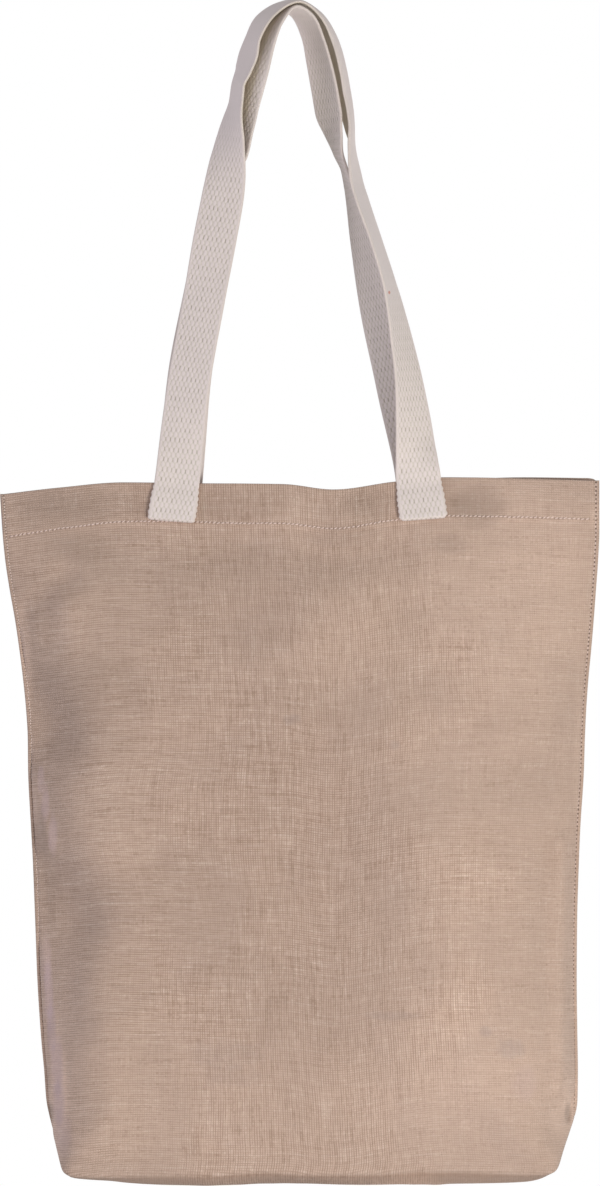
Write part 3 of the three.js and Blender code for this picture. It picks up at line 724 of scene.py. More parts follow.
# A number in a material: sums and products of it add Math nodes.
class Value:
    def __init__(self, finish, socket):
        self.finish = finish
        self.socket = socket

    def __add__(self, other):
        return self.finish.math("ADD", self, other)

    def __sub__(self, other):
        return self.finish.math("SUBTRACT", self, other)

    def __rsub__(self, other):
        return self.finish.math("SUBTRACT", other, self)

    def __mul__(self, other):
        return self.finish.math("MULTIPLY", self, other)

    def __truediv__(self, other):
        return self.finish.math("DIVIDE", self, other)

    def __pow__(self, other):
        return self.finish.math("POWER", self, other)

    def __abs__(self):
        return self.finish.math("ABSOLUTE", self)

    __radd__ = __add__
    __rmul__ = __mul__


class Finish:
    def __init__(self, name):
        self.material = bpy.data.materials.new(name)
        self.material.use_nodes = True
        self.tree = self.material.node_tree
        self.shader = self.tree.nodes["Principled BSDF"]

    def feed(self, socket, value):
        if isinstance(value, Value):
            self.tree.links.new(value.socket, socket)
        else:
            socket.default_value = value

    def node(self, kind, settings=None, inputs=None, output=0):
        made = self.tree.nodes.new(kind)
        for key, value in (settings or {}).items():
            setattr(made, key, value)
        for key, value in (inputs or {}).items():
            self.feed(made.inputs[key], value)
        return Value(self, made.outputs[output])

    def math(self, operation, *values):
        return self.node("ShaderNodeMath", {"operation": operation}, dict(enumerate(values)))

    def split(self, vector):
        parts = self.node("ShaderNodeSeparateXYZ", inputs={0: vector})
        return [Value(self, parts.socket.node.outputs[k]) for k in range(3)]

    def vector(self, x=0.0, y=0.0, z=0.0):
        return self.node("ShaderNodeCombineXYZ", inputs={0: x, 1: y, 2: z})

    def noise(self, place, scale=1.0, detail=1):
        inputs = {"Vector": place, "Scale": scale, "Detail": detail}
        return self.node("ShaderNodeTexNoise", {"noise_dimensions": "3D"}, inputs)

    # Noise about 0.5 over two lengths, in one layer of the many that depth picks.
    def mottle(self, x, y, depth, detail=1):
        return self.noise(self.vector(x, y, depth), detail=detail)

    def smooth(self, value, start, end, low=0.0, high=1.0):
        settings = {"interpolation_type": "SMOOTHSTEP"}
        inputs = {"Value": value, "From Min": start, "From Max": end, "To Min": low, "To Max": high}
        return self.node("ShaderNodeMapRange", settings, inputs)

    def colour(self, factor, first, second, blend="MIX"):
        settings = {"data_type": "RGBA", "blend_type": blend, "clamp_factor": True}
        return self.node("ShaderNodeMix", settings, {0: factor, 6: first, 7: second}, output=2)

    def tinted(self, body, tint, share=1.0):
        return self.colour(share, body, tint, "MULTIPLY")

    def grey(self, value):
        return self.node("ShaderNodeCombineColor", inputs={0: value, 1: value, 2: value})

    def bump(self, height, distance):
        inputs = {"Height": height, "Distance": distance, "Strength": 1.0}
        return self.node("ShaderNodeBump", inputs=inputs)

    # The place on the flat cloth, and the place of the piece, in millimetres.
    def flatPlace(self):
        u, v, _ = self.split(self.node("ShaderNodeUVMap", {"uv_map": "cloth"}))
        return u * 1000, v * 1000

    def place(self):
        return [part * 1000 for part in self.split(self.node("ShaderNodeTexCoord", output=3))]

    # A number that each point of the mesh holds.
    def held(self, name):
        return self.node("ShaderNodeAttribute", {"attribute_name": name}, output=2)

    def set(self, **sockets):
        for name, value in sockets.items():
            self.feed(self.shader.inputs[name.replace("_", " ")], value)


# A colour as a picture shows it, in the linear numbers that a material takes.
def linear(red, green, blue):
    def one(value):
        value /= 255
        return value / 12.92 if value <= 0.04045 else ((value + 0.055) / 1.055) ** 2.4

    return (one(red), one(green), one(blue), 1.0)


jute = {
    # from one thread to the next: the warp runs down the cloth, the weft across it
    "warpPitch": 1.6,
    "weftPitch": 1.5,
    "stray": 1.2,  # how many pitches a thread wanders sideways
    "wander": 60,  # over this length
    # how far apart neighbouring threads are in the noise, and how long a mark of it is along them
    "toneStep": 3.71,
    "toneLong": 30,
    "slubStep": 5.3,
    "slubLong": {"warp": 14, "weft": 24},
    "gapStep": 2.9,
    "gapLong": {"warp": 12, "weft": 10},
    "crossingStep": 1.9,
    "holeStep": 2.3,
    # noise from which a slub, a gap and a pinhole show, and where they are whole
    "slubShows": {"warp": (0.66, 0.84), "weft": (0.6, 0.8)},
    "gapShows": (0.25, 0.65, 0.4, 1.0),  # with how dark it is at both
    "holeShows": (0.58, 0.72),
    # distances in pitches from a thread's middle between which a gap and a pinhole darken
    "gapEdge": (0.14, 0.48),
    "holeEdge": (0.72, 0.9),
    "needleEdge": (0.8, 0.3),  # in millimetres from a needle hole's middle
    # how much each direction shows: size of the areas, distance over which it fades, the range
    "ribbing": 80,
    "warpFades": 200,
    "weftFades": {"across": 600, "along": 500},
    "warpShows": (-0.1, 0.25, 0.4, 0.95),
    "weftShows": (0.1, 0.5, 0.52, 0.85),
    "evened": 0.18,  # how much paler the cloth is where both show, since their lines darken it
    "plainTone": 0.74,
    # how much of the tone, and of a slub's strength, is in each direction
    "warpTone": 0.75,
    "weftTone": 0.6,
    "crossings": 0.3,
    "warpSlub": 0.7,
    "weftSlub": 0.5,
    "hidden": 0.2,  # what the warp loses and the weft gains where the weft lies on top
    "toneSteps": {"middle": (0.24, 0.5), "light": (0.5, 0.78)},  # where each colour takes over
    "cloud": 60,  # size of the soft unevenness of the tone
    "cloudTone": (0.3, 0.7, 0.1, 0.5),
    "threadRound": 4.4,  # how steeply a thread falls away to its sides
    "threadDip": 0.55,  # how far it dips where it passes under
    "light": (213, 191, 176),
    "middle": (194, 169, 153),
    "dark": (168, 143, 126),
    "slub": (220, 201, 190),
    "gap": (124, 98, 78),
    "hole": (66, 48, 38),
    "edge": (150, 118, 92),
    "greyMarkTone": (142, 132, 130),
    "paintedSheenTone": (190, 166, 164),
    "baseShadeTint": (0.87, 0.79, 0.725, 1),  # painted shade of the base, which faces down, with a warmer tone there
    # how strongly each colour shows, and how much each thing raises or sinks the face
    "strength": {"slub": 0.2, "gap": 0.66, "edge": 0.1, "hole": 0.5, "needle": 0.6, "hemNeedle": 0.5},
    "raised": {"thread": 0.8, "slub": 0.3, "gap": 0.3, "hole": 0.5, "needle": 2, "fuzz": 0.25},
    "edgeStarts": (0.7, 2.0),  # beyond the stitch row
    "relief": 0.00018,  # metres
    "fuzz": 0.5,  # size of the fibres
    # from one stitch to the next
    "hemPitch": 2.93,
    "leftPitch": 2.13,
    "rightPitch": 2.8,
    "rag": 7,  # size of the bites out of a mark's edge
    "markEnds": 1.6,  # where a mark has faded out, as the square of its own size
    "ragged": {"paintedShading": 1.2, "sheen": 1.2, "greyMarks": 2.4},
    # x, height, half width, half height, how much paler or darker the jute is painted there, on the front:
    # painted light and shade of the folds, hollows, seams and hem
    "paintedShading": (
        (4, -590, 92, 125, -0.085),
        (0, -480, 76, 40, -0.03),
        (-34, -388, 55, 45, -0.03),
        (-55, -338, 40, 12, -0.04),
        (40, -338, 24, 14, -0.07),
        (119, -338, 22, 14, -0.075),
        (-130, -385, 50, 46, 0.05),
        (33, -385, 60, 62, 0.05),
        (150, -385, 62, 80, 0.12),
        (168, -385, 46, 40, 0.03),
        (145, -457, 24, 18, 0.04),
        (154, -516, 30, 20, -0.05),
        (126, -600, 60, 260, 0.035),
        (-122, -540, 34, 45, 0.02),
        (-130, -735, 50, 46, 0.06),
        (0, -740, 90, 46, 0.03),
        (122, -715, 76, 60, 0.09),
        (-88, -716, 74, 60, 0.03),
        (-172, -386, 20, 12, -0.05),  # painted shade in the hollows of the left side
        (-167, -410, 12, 20, -0.06),
        (-154, -466, 34, 34, -0.09),
        (-132, -452, 60, 22, -0.06),
        (-164, -552, 10, 30, -0.05),
        (-166, -590, 12, 30, -0.1),
        (-134, -596, 34, 26, -0.05),
        (-178.5, -446, 5.5, 42, 0.2),  # painted light along the left seam
        (-144, -690, 16, 66, 0.08),
        (-155, -716, 6, 44, 0.16),
        (180, -640, 10, 130, 0.06),  # and along the right seam
        (193, -505, 5, 70, 0.07),
        (190, -640, 3.4, 80, 0.07),
        (180, -742, 8, 14, 0.1),
        (-171, -529, 5, 17, 0.2),  # painted light and shade at the edge of the left side
        (-167, -640, 6, 58, 0.13),
        (-161, -684, 7, 24, 0.14),
        (-154, -734, 7, 42, 0.22),
        (-132, -722, 12, 26, -0.1),
        (-158, -338, 34, 17, -0.08),
        (-137, -331, 52, 11, -0.1),  # painted shade and light along the hem
        (-99, -330, 10, 12, -0.07),
        (-37, -331, 34, 11, -0.08),
        (52, -329, 18, 10, -0.1),
        (126, -331, 19, 14, -0.17),
        (206, -338, 8, 10, 0.14),
        (-143, -360, 24, 10, -0.12),
        (-117, -350, 20, 7, -0.07),
        (33, -352, 24, 8, -0.11),
        (106, -357, 13, 7, -0.13),
        (150, -375, 50, 16, 0.05),
        (126, -712, 46, 20, 0.04),
        (80, -788, 26, 12, 0.26),
        (0, -788, 30, 12, -0.09),
        (188, -728, 7, 22, 0.12),
        (184.6, -737, 2.6, 7, -0.3),  # painted shadow of the folds at the ends of the seams
        (-160.2, -736, 2.6, 7, -0.4),
        (120, -792, 76, 15, 0.12),
    ),
    # the same, for a painted cool highlight along the ridges beside the seams
    "sheen": (
        (-166.5, -514, 2.6, 9, 0.5),
        (-163.5, -530, 2.8, 13, 0.6),
        (-158.5, -551, 3.2, 14, 0.55),
        (-163, -634, 3.4, 18, 0.35),
        (-161.5, -656, 3.2, 24, 0.6),
        (-159.5, -680, 3.2, 18, 0.6),
        (-155.5, -704, 4.4, 20, 0.6),
        (-154.5, -729, 4.4, 15, 0.6),
        (-152, -748, 6, 15, 0.35),
        (155, -715, 9, 12, 0.2),
    ),
    # the same, for small grey-blue marks
    "greyMarks": (
        (-43, -696, 26, 10, 0.12),
        (-38, -711, 20, 7, 0.1),
        (1, -473.6, 6, 3.4, 0.24),
        (69, -491, 4, 3.4, 0.2),
        (69, -670, 18, 3.4, 0.18),
        (129, -681, 4.5, 4, 0.2),
        (146, -692, 10, 7, 0.24),
    ),
}


def juteFinish():
    finish = Finish("jute_weave")
    u, v = finish.flatPlace()
    wander = jute["wander"]
    drift = finish.mottle(u / wander, v / wander, 3.0) - 0.5
    lean = finish.mottle(u / wander, v / wander, 9.0) - 0.5
    warp = u / jute["warpPitch"] + drift * jute["stray"]
    weft = v / jute["weftPitch"] + lean * jute["stray"]
    warpNumber, weftNumber = finish.math("FLOOR", warp), finish.math("FLOOR", weft)
    warpGapNumber, weftGapNumber = finish.math("ROUND", warp), finish.math("ROUND", weft)
    a, b = warp - warpNumber - 0.5, weft - weftNumber - 0.5

    # Each thread has a tone of its own that changes slowly along it, and short pale slubs.
    step, long = jute["toneStep"], jute["toneLong"]
    warpTone = finish.mottle(warpNumber * step, v / long, 1.0) - 0.5
    weftTone = finish.mottle(u / long, weftNumber * step, 5.0) - 0.5
    step, long, shows = jute["slubStep"], jute["slubLong"], jute["slubShows"]
    warpSlub = finish.mottle(warpNumber * step, v / long["warp"], 12.0, detail=0)
    weftSlub = finish.mottle(u / long["weft"], weftNumber * step, 14.0, detail=0)
    warpSlub = finish.smooth(warpSlub, *shows["warp"])
    weftSlub = finish.smooth(weftSlub, *shows["weft"])
    step = jute["crossingStep"]
    crossing = finish.mottle(warpNumber * step, weftNumber * step, 8.0, detail=0) - 0.5

    # 1 where the weft lies on top. The even number keeps the sum positive.
    over = finish.math("MODULO", warpNumber + weftNumber + 2000, 2)
    hidden = over * jute["hidden"]

    # Which of the two directions shows more in a place.
    toMouth = finish.math("MINIMUM", v, clothLength - v)
    fromMidway = abs(toMouth - cloth["wall"] / 2)
    ribbed = finish.mottle(u / jute["ribbing"], v / jute["ribbing"], 30.0)
    warpShare = finish.smooth(ribbed - abs(u) / jute["warpFades"], *jute["warpShows"])
    faded = ribbed - u / jute["weftFades"]["across"] - fromMidway / jute["weftFades"]["along"]
    weftShare = finish.smooth(faded, *jute["weftShows"])
    tone = warpTone * warpShare * (jute["warpTone"] - hidden) + 0.5
    tone = tone + weftTone * weftShare * (jute["weftTone"] + hidden) + crossing * jute["crossings"]
    warpSlub = warpSlub * (jute["warpSlub"] - hidden)
    weftSlub = weftSlub * (jute["weftSlub"] + hidden)
    slub = finish.math("MAXIMUM", warpSlub, weftSlub)

    # The height of the thread on top: round across, and dipping at its ends.
    side, along = a + (b - a) * over, b + (a - b) * over
    profile = finish.math("MAXIMUM", 1 - side * side * (jute["threadRound"] - slub * 2), 0)
    dip = jute["threadDip"]
    height = profile * (1 - dip + finish.math("COSINE", along * math.pi) * dip)

    # Dark lines where the threads stand apart, and a pinhole here and there.
    fromWarp, fromWeft = abs(a), abs(b)
    step, long = jute["gapStep"], jute["gapLong"]
    warpGap = finish.mottle(warpGapNumber * step, v / long["warp"], 21.0)
    weftGap = finish.mottle(u / long["weft"], weftGapNumber * step, 24.0)

    def gapLine(away, gap, share):
        return finish.smooth(away, *jute["gapEdge"]) * finish.smooth(gap, *jute["gapShows"]) * share

    warpLine = gapLine(fromWarp, warpGap, warpShare)
    line = finish.math("MAXIMUM", warpLine, gapLine(fromWeft, weftGap, weftShare))
    step = jute["holeStep"]
    opened = finish.mottle(warpGapNumber * step, weftGapNumber * step, 2.0, detail=2)
    hole = finish.smooth(fromWarp + fromWeft, *jute["holeEdge"])
    hole = hole * finish.smooth(opened, *jute["holeShows"])

    # Needle holes of the side rows and the hem rows.
    onLeft = finish.math("LESS_THAN", u, 0.0)
    sidePitch = jute["rightPitch"] + onLeft * (jute["leftPitch"] - jute["rightPitch"])
    alongSide = (finish.math("FRACT", toMouth / sidePitch + 0.5) - 0.5) * sidePitch
    fromSide = abs(u) - cloth["halfWidth"]
    sideHole = finish.smooth((alongSide**2 + fromSide**2) ** 0.5, *jute["needleEdge"])
    firstHem = cloth["halfWidth"] - sewing["end"]
    alongHem = (finish.math("FRACT", (u + firstHem) / jute["hemPitch"]) - 0.5) * jute["hemPitch"]
    dropped = finish.math("MAXIMUM", (u + sewing["dropFrom"]) / -sewing["dropOver"], 0.0)
    fromHem = toMouth - dropped * sewing["hemDrop"] - sewing["hemRow"]
    hemHole = finish.smooth((alongHem**2 + fromHem**2) ** 0.5, *jute["needleEdge"])
    needle = finish.math("MAXIMUM", sideHole, hemHole * jute["strength"]["hemNeedle"])

    cloud = finish.mottle(u / jute["cloud"], v / jute["cloud"], 4.0, detail=3)
    light, middle, dark = (linear(*jute[name]) for name in ("light", "middle", "dark"))
    strength = jute["strength"]
    body = finish.colour(finish.smooth(tone, *jute["toneSteps"]["middle"]), dark, middle)
    body = finish.colour(finish.smooth(tone, *jute["toneSteps"]["light"]), body, light)
    body = finish.colour(finish.smooth(cloud, *jute["cloudTone"]), body, middle)
    body = finish.colour(slub * strength["slub"], body, linear(*jute["slub"]))
    body = finish.colour(line * strength["gap"], body, linear(*jute["gap"]))
    seamEdge = finish.smooth(fromSide, *jute["edgeStarts"])
    body = finish.colour(seamEdge * strength["edge"], body, linear(*jute["edge"]))
    pierced = finish.math("MAXIMUM", hole * strength["hole"], needle * strength["needle"])
    body = finish.colour(pierced, body, linear(*jute["hole"]))

    x, y, z = finish.place()
    ragged = finish.mottle(x / jute["rag"], z / jute["rag"], 0.0, detail=3)
    onFront = finish.math("LESS_THAN", y, 0.0)

    # The amounts of a table's marks, summed, each with an uneven edge.
    def marked(name, noise):
        uneven = (noise - 0.5) * jute["ragged"][name]
        total = 0.0
        for atX, atZ, wide, high, amount in jute[name]:
            away = ((x - atX) / wide) ** 2 + ((z - atZ) / high) ** 2
            total = finish.smooth(away + uneven, jute["markEnds"], 0.0, 0.0, amount) + total
        return total * onFront

    evened = (warpShare + weftShare) * jute["evened"] + jute["plainTone"]
    # painted light and shade of the folds, hollows, seams and hem, plus the weave's own tone where both
    # directions show
    toneAndPaintedShading = marked("paintedShading", cloud) + evened
    body = finish.tinted(body, finish.grey(toneAndPaintedShading))
    # painted cool highlight on the ridges beside the seams
    body = finish.colour(marked("sheen", ragged), body, linear(*jute["paintedSheenTone"]))
    # painted shade: the base, which faces down, darker and warmer
    body = finish.tinted(body, jute["baseShadeTint"], finish.held("under"))
    body = finish.colour(marked("greyMarks", ragged), body, linear(*jute["greyMarkTone"]))

    fuzz = finish.mottle(u / jute["fuzz"], v / jute["fuzz"], 0.0, detail=2)
    raised = jute["raised"]
    relief = height * raised["thread"] + slub * raised["slub"] + fuzz * raised["fuzz"]
    relief = relief - line * raised["gap"] - hole * raised["hole"] - needle * raised["needle"]
    finish.set(
        Base_Color=body,
        Roughness=0.92,
        Specular_IOR_Level=0.25,
        Sheen_Weight=0.12,
        Sheen_Roughness=0.6,
        Normal=finish.bump(relief, jute["relief"]),
    )
    return finish.material


cotton = {
    "pad": (221, 210, 207),
    # colour of the hollows round the ovals, a painted shade
    "light": (211, 202, 193),
    # colour of the slits, a painted shade
    "slit": (128, 118, 95),
    "mark": (196, 104, 74),
    "edgeTint": (0.95, 0.95, 0.9, 1),
    "shadeTint": (0.9, 0.9, 0.8, 1),
    "relief": 0.00016,  # metres
    # the raised ovals, and where the slits and hollows round them begin and are whole
    "padWide": 2.75,
    "padLong": 4.7,
    "slitEdge": (0.66, 1.16),
    "hollowEdge": (0.1, 1.0),
    "slitStrength": 0.66,
    "slitShows": (0.32, 0.66, 0.4, 1.0),  # noise from which a slit shows, and how much
    "slitRows": 0.38,  # how far their strength swings from one row to the next
    "patch": {"across": 0.9, "along": 1.8},  # patches of stronger slits to an oval
    "stray": {"size": 5, "across": 0.9, "along": 1.8},  # how far the rows of ovals wander
    # distances from the middle between which the ovals end, and the edge's own tone starts
    "field": (13.9, 13.0),
    "selvedge": (13.6, 14.4),
    "selvedgeRib": 0.95,
    "ribStrength": 0.25,
    # sizes of the fibres and of the soft unevenness, and how much each lightens the cloth
    "yarn": {"across": 0.42, "along": 1.6, "tone": 0.12},
    "cloud": {"across": 14, "along": 30, "tone": 0.06},
    "plainTone": 0.9,
    "raised": {"yarn": 0.4, "slit": 1, "hollow": 0.3, "rib": 0.3},
    # x, height, half width, half height of a coloured fleck, how uneven and how strong it is
    "fleck": (65.4, -189.4, 0.9, 1.2, 1.6, 0.7),
    "fleckEdge": (1.2, 0.2),
}


# Staggered rows of raised ovals with dark slits between them; the slits and the hollows round the ovals
# are painted darker, as painted shade in the weave's recesses.
def webbingFinish():
    finish = Finish("cotton_webbing")
    u, v = finish.flatPlace()
    stray = cotton["stray"]
    waver = finish.mottle(u / stray["size"], v / stray["size"], 0.0, detail=2) - 0.5
    across = (u + waver * stray["across"]) / webbing["cellWide"]
    along = (v + waver * stray["along"]) / webbing["cellLong"]

    # 0 in the middle of the nearest oval of one of the two sets, 1 at its rim.
    def fromOval(shift):
        x = (finish.math("FRACT", across + shift) - 0.5) * (webbing["cellWide"] / cotton["padWide"] * 2)
        y = (finish.math("FRACT", along + shift) - 0.5) * (webbing["cellLong"] / cotton["padLong"] * 2)
        return x * x + y * y

    rim = finish.math("MINIMUM", fromOval(0.0), fromOval(0.5))
    woven = finish.held("woven")
    patch = cotton["patch"]
    patchy = finish.mottle(across * patch["across"], along * patch["along"], 3.0)
    rows = cotton["slitRows"]
    rowStrength = finish.math("COSINE", along * math.tau) * rows + (1 - rows)
    strength = finish.smooth(patchy, *cotton["slitShows"]) * rowStrength * woven
    fromMiddle = abs(u)
    field = finish.smooth(fromMiddle, *cotton["field"])
    slit = finish.smooth(rim, *cotton["slitEdge"]) * strength * field
    hollow = finish.smooth(rim, *cotton["hollowEdge"]) * field * woven
    rib = finish.math("COSINE", v * (math.tau / cotton["selvedgeRib"])) * (1 - field)
    size = cotton["yarn"]
    yarn = finish.mottle(u / size["across"], v / size["along"], 0.0, detail=2)
    size = cotton["cloud"]
    cloud = finish.mottle(u / size["across"], v / size["along"], 2.0, detail=2)
    # painted shade: darker in the hollows round the ovals and in the slits
    body = finish.colour(hollow, linear(*cotton["pad"]), linear(*cotton["light"]))
    body = finish.colour(slit * cotton["slitStrength"], body, linear(*cotton["slit"]))
    ribbed = rib * cotton["ribStrength"] + (1 - cotton["ribStrength"])
    body = finish.tinted(body, cotton["edgeTint"], finish.smooth(fromMiddle, *cotton["selvedge"]) * ribbed)
    tone = yarn * cotton["yarn"]["tone"] + cloud * cotton["cloud"]["tone"] + cotton["plainTone"]
    body = finish.tinted(body, finish.grey(tone))
    body = finish.tinted(body, cotton["shadeTint"], finish.held("shade"))

    x, _, z = finish.place()
    atX, atZ, wide, high, uneven, strong = cotton["fleck"]
    away = ((x - atX) / wide) ** 2 + ((z - atZ) / high) ** 2 + waver * uneven
    fleck = finish.smooth(away, *cotton["fleckEdge"]) * strong
    body = finish.colour(fleck, body, linear(*cotton["mark"]))
    raised = cotton["raised"]
    relief = yarn * raised["yarn"] + rib * raised["rib"]
    relief = relief - slit * raised["slit"] - hollow * raised["hollow"]
    finish.set(
        Base_Color=body,
        Roughness=0.88,
        Specular_IOR_Level=0.25,
        Sheen_Weight=0.15,
        Sheen_Roughness=0.5,
        Normal=finish.bump(relief, cotton["relief"]),
    )
    return finish.material


def threadFinish(name, colour):
    finish = Finish(name)
    place = finish.node("ShaderNodeTexCoord", output=3)
    twist = finish.noise(place, scale=sewing["twist"])
    tone = twist * sewing["twistTone"] + sewing["plainTone"]
    body = finish.tinted(linear(*colour), finish.grey(tone))
    normal = finish.bump(twist, sewing["twistRelief"])
    finish.set(Base_Color=body, Roughness=0.75, Specular_IOR_Level=0.3, Normal=normal)
    return finish.material


sewing = {
    "hemRow": 24.6,  # below the mouth
    "hemDrop": 3.2,  # how much lower the row is at the left side
    "dropFrom": 105,  # distance left of the middle where it starts to drop, and over how far
    "dropOver": 95,
    "hemLong": 2.5,
    "hemHigh": 0.9,
    "hemSlant": 22,  # degrees from the row
    "sideLong": 1.9,
    "sideHigh": 0.8,
    "thick": 0.75,
    "end": 4,  # from the last stitch of a hem row to the side seam
    "sideEnds": 0.99,  # share of the way down where the side rows end
    # spread of the places, lengths and slants of the stitches
    "uneven": 0.12,
    "unevenHem": 0.2,
    "unevenSide": 0.15,
    "unevenSlant": 8,
    "thread": (226, 206, 197),
    "twist": 2600,  # fineness of the thread's twist
    "twistTone": 0.35,
    "plainTone": 0.8,
    "twistRelief": 0.00015,
}


# One thread's stitches as one mesh: each is a short round length that sinks in at both ends.
def joinStitches(name, stitches, finish):
    shape = bmesh.new()
    bmesh.ops.create_uvsphere(shape, u_segments=8, v_segments=6, radius=0.5)
    points = np.array([vert.co[:] for vert in shape.verts])
    corners = [[vert.index for vert in face.verts] for face in shape.faces]
    shape.free()
    places, faces = [], []
    for centre, along, out, long, high in stitches:
        axes = np.array([along * long, np.cross(out, along) * sewing["thick"], out * high])
        faces += [[corner + len(places) * len(points) for corner in face] for face in corners]
        places.append(centre + points @ axes)
    mesh = bpy.data.meshes.new(name)
    mesh.from_pydata(np.concatenate(places) * mm, [], faces)
    mesh.polygons.foreach_set("use_smooth", [True] * len(faces))
    piece = newPiece(name, mesh, finish)
    return piece


# Height of a wall at a place across it.
def wallHeight(side, across):
    distance = float(clothDistance(np.array(float(across)), 1 if side == "front" else 2))
    return distance if side == "front" else clothLength - distance


def makeHemStitches(finish):
    random = np.random.default_rng(5)
    reach = cloth["halfWidth"] - sewing["end"]
    uneven = sewing["uneven"]
    stitches = []
    for side in sides:
        for u in np.arange(-reach, reach, jute["hemPitch"]):
            across = (u + random.normal(0, uneven)) / cloth["halfWidth"]
            dropped = max(0, -u - sewing["dropFrom"]) / sewing["dropOver"]
            row = (sewing["hemRow"] + sewing["hemDrop"] * dropped) / wallHeight(side, across)
            centre, wide, down, out = onCloth(across, row if side == "front" else 3 - row)
            slant = math.radians(sewing["hemSlant"] + random.normal(0, sewing["unevenSlant"]))
            along = unit(wide * math.cos(slant) - down * math.sin(slant))
            long = sewing["hemLong"] + random.normal(0, sewing["unevenHem"])
            centre = centre + down * random.normal(0, uneven)
            stitches.append((centre, along, out, long, sewing["hemHigh"]))
    return joinStitches("hem_stitches", stitches, finish)


def makeSideStitches(finish):
    random = np.random.default_rng(6)
    stitches = []
    for edge in (-1, 1):
        pitch = jute["leftPitch"] if edge < 0 else jute["rightPitch"]
        for side in sides:
            height = wallHeight(side, edge)
            for v in np.arange(pitch / 2, height * sewing["sideEnds"], pitch):
                down = v / height
                centre, _, along, _ = onCloth(edge, down if side == "front" else 3 - down)
                out = np.array([0.0, sides[side], 0.0])
                along = unit(along - out * along[1])
                centre = centre + np.array([random.normal(0, sewing["uneven"]), 0, 0])
                long = sewing["sideLong"] + random.normal(0, sewing["unevenSide"])
                stitches.append((centre, along, out, long, sewing["sideHigh"]))
    return joinStitches("side_stitches", stitches, finish)


studio = {
    "view": 8.0,  # how far the camera stands from the bag, in metres
    "sensor": 36,
    # height that the camera shows, and x and height of its middle, in millimetres
    "shown": 791.1,
    "centre": (6.0, -389.5),
    "ambient": 0.45,
    # name, place, size, power, colour
    "lamps": (
        ("key", (0.8, -1.4, -0.7), 0.5, 14.8, (1.0, 0.97, 0.935)),
        ("fill", (-2.2, -0.8, -0.5), 1.2, 9, (0.97, 0.93, 1.18)),
        ("back", (0.6, 2.6, 0.2), 1.8, 24, (1.0, 0.98, 0.96)),
    ),
    "spot": ("handles", (-1.7, -0.7, 0.1), 0.35, 26, (1.0, 0.94, 0.95)),
    "spotAim": -0.1,
    "spotAngle": 17,
    # height and radius of the floor, and distances between which it fades
    "floor": -1.02,
    "floorRadius": 3.2,
    "floorFades": (1.3, 3.0),
}


def addLamp(light, place, aimHeight):
    lamp = bpy.data.objects.new(light.name, light)
    lamp.location = place
    aim = Vector((0, 0, aimHeight)) - lamp.location
    lamp.rotation_euler = aim.to_track_quat("-Z", "Y").to_euler()
    bpy.context.scene.collection.objects.link(lamp)


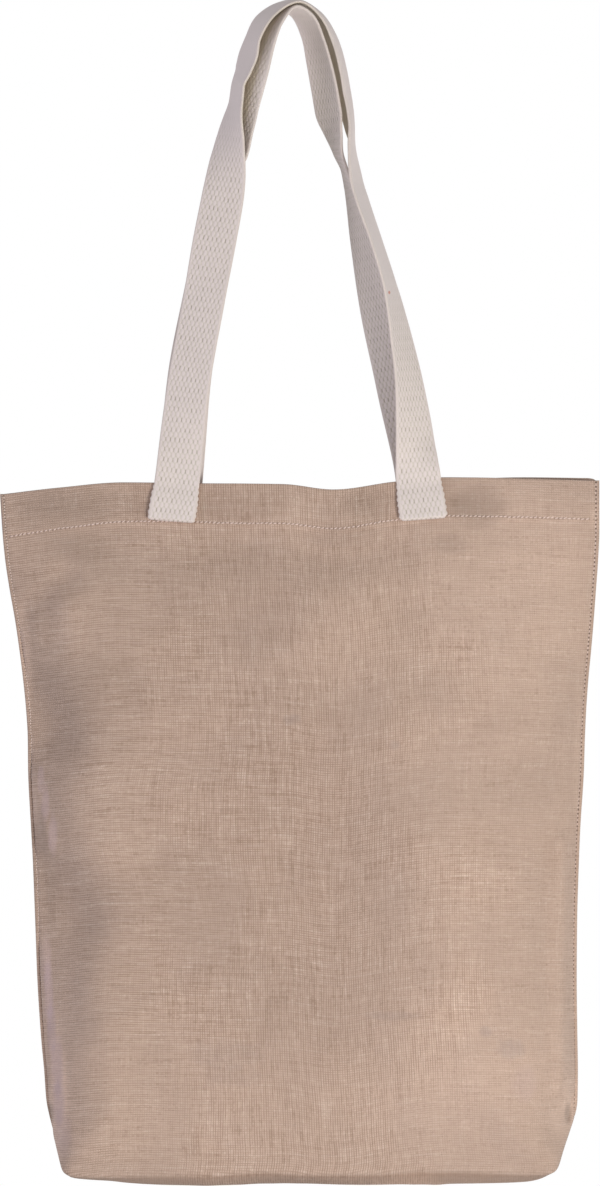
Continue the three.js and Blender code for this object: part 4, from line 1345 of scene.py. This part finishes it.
def makeStudio():
    scene = bpy.context.scene
    scene.view_settings.view_transform = "Standard"
    centreX, centreZ = studio["centre"]
    camera = bpy.data.cameras.new("camera")
    camera.sensor_width = studio["sensor"]
    camera.lens = studio["sensor"] * studio["view"] / (studio["shown"] * mm)
    camera.clip_end = 200
    viewer = bpy.data.objects.new("camera", camera)
    viewer.location = (centreX * mm, -studio["view"], centreZ * mm)
    viewer.rotation_euler = (math.pi / 2, 0, 0)
    scene.collection.objects.link(viewer)
    scene.camera = viewer

    # White where the camera sees the room itself, dimmer where the room lights the bag.
    world = bpy.data.worlds.new("studio")
    world.use_nodes = True
    scene.world = world
    tree = world.node_tree
    background = tree.nodes["Background"]
    background.inputs["Color"].default_value = (1, 1, 1, 1)
    path = tree.nodes.new("ShaderNodeLightPath")
    strength = tree.nodes.new("ShaderNodeMapRange")
    strength.inputs["To Min"].default_value = studio["ambient"]
    strength.inputs["To Max"].default_value = 1.0
    tree.links.new(path.outputs["Is Camera Ray"], strength.inputs["Value"])
    tree.links.new(strength.outputs[0], background.inputs["Strength"])

    for name, place, size, power, colour in studio["lamps"]:
        light = bpy.data.lights.new(name, "AREA")
        light.size = size
        light.energy = power
        light.color = colour
        addLamp(light, place, centreZ * mm)
    name, place, size, power, colour = studio["spot"]
    light = bpy.data.lights.new(name, "SPOT")
    light.shadow_soft_size = size
    light.energy = power
    light.color = colour
    light.spot_size = math.radians(studio["spotAngle"])
    light.spot_blend = 1.0
    addLamp(light, place, studio["spotAim"])

    bm = bmesh.new()
    bmesh.ops.create_circle(bm, cap_ends=True, segments=96, radius=studio["floorRadius"])
    bmesh.ops.translate(bm, verts=bm.verts, vec=(0, 0, studio["floor"]))
    mesh = bpy.data.meshes.new("floor")
    bm.to_mesh(mesh)
    bm.free()
    floor = bpy.data.objects.new("floor", mesh)
    scene.collection.objects.link(floor)
    finish = Finish("pale_floor")
    finish.set(Base_Color=(0.92, 0.92, 0.92, 1), Roughness=0.9)
    away = finish.node("ShaderNodeVectorMath", {"operation": "LENGTH"}, output=1)
    place = finish.node("ShaderNodeTexCoord", output=3)
    finish.tree.links.new(place.socket, away.socket.node.inputs[0])
    finish.set(Alpha=finish.smooth(away, *studio["floorFades"], 1.0, 0.0))
    mesh.materials.append(finish.material)


makeStudio()
print("studio: camera, lights and floor are in place")

body = makeCloth(juteFinish())
print(f"body: {len(body.data.polygons)} faces")
corners, polygons = [v.co for v in body.data.vertices], [p.vertices for p in body.data.polygons]
tree = BVHTree.FromPolygons(corners, polygons)
webbingLook = webbingFinish()
handles = {side: makeHandle(side, tree, webbingLook) for side in sides}
juteThread = threadFinish("jute_thread", sewing["thread"])
hemStitches = makeHemStitches(juteThread)
sideStitches = makeSideStitches(juteThread)
print("sewing: hem and side rows")

# The body was cut as one length with the hems and the seam allowances on it.
cutWide = 2 * (cloth["halfWidth"] + cloth["flange"] + cloth["seamAllowance"])
cutLong = 2 * (cloth["wall"] + cloth["hem"] + cloth["turnedUnder"]) + cloth["base"]
cutWide * mm
cutLong * mm
for side, (piece, long) in handles.items():
    (long + 2 * webbing["fold"]) * mm
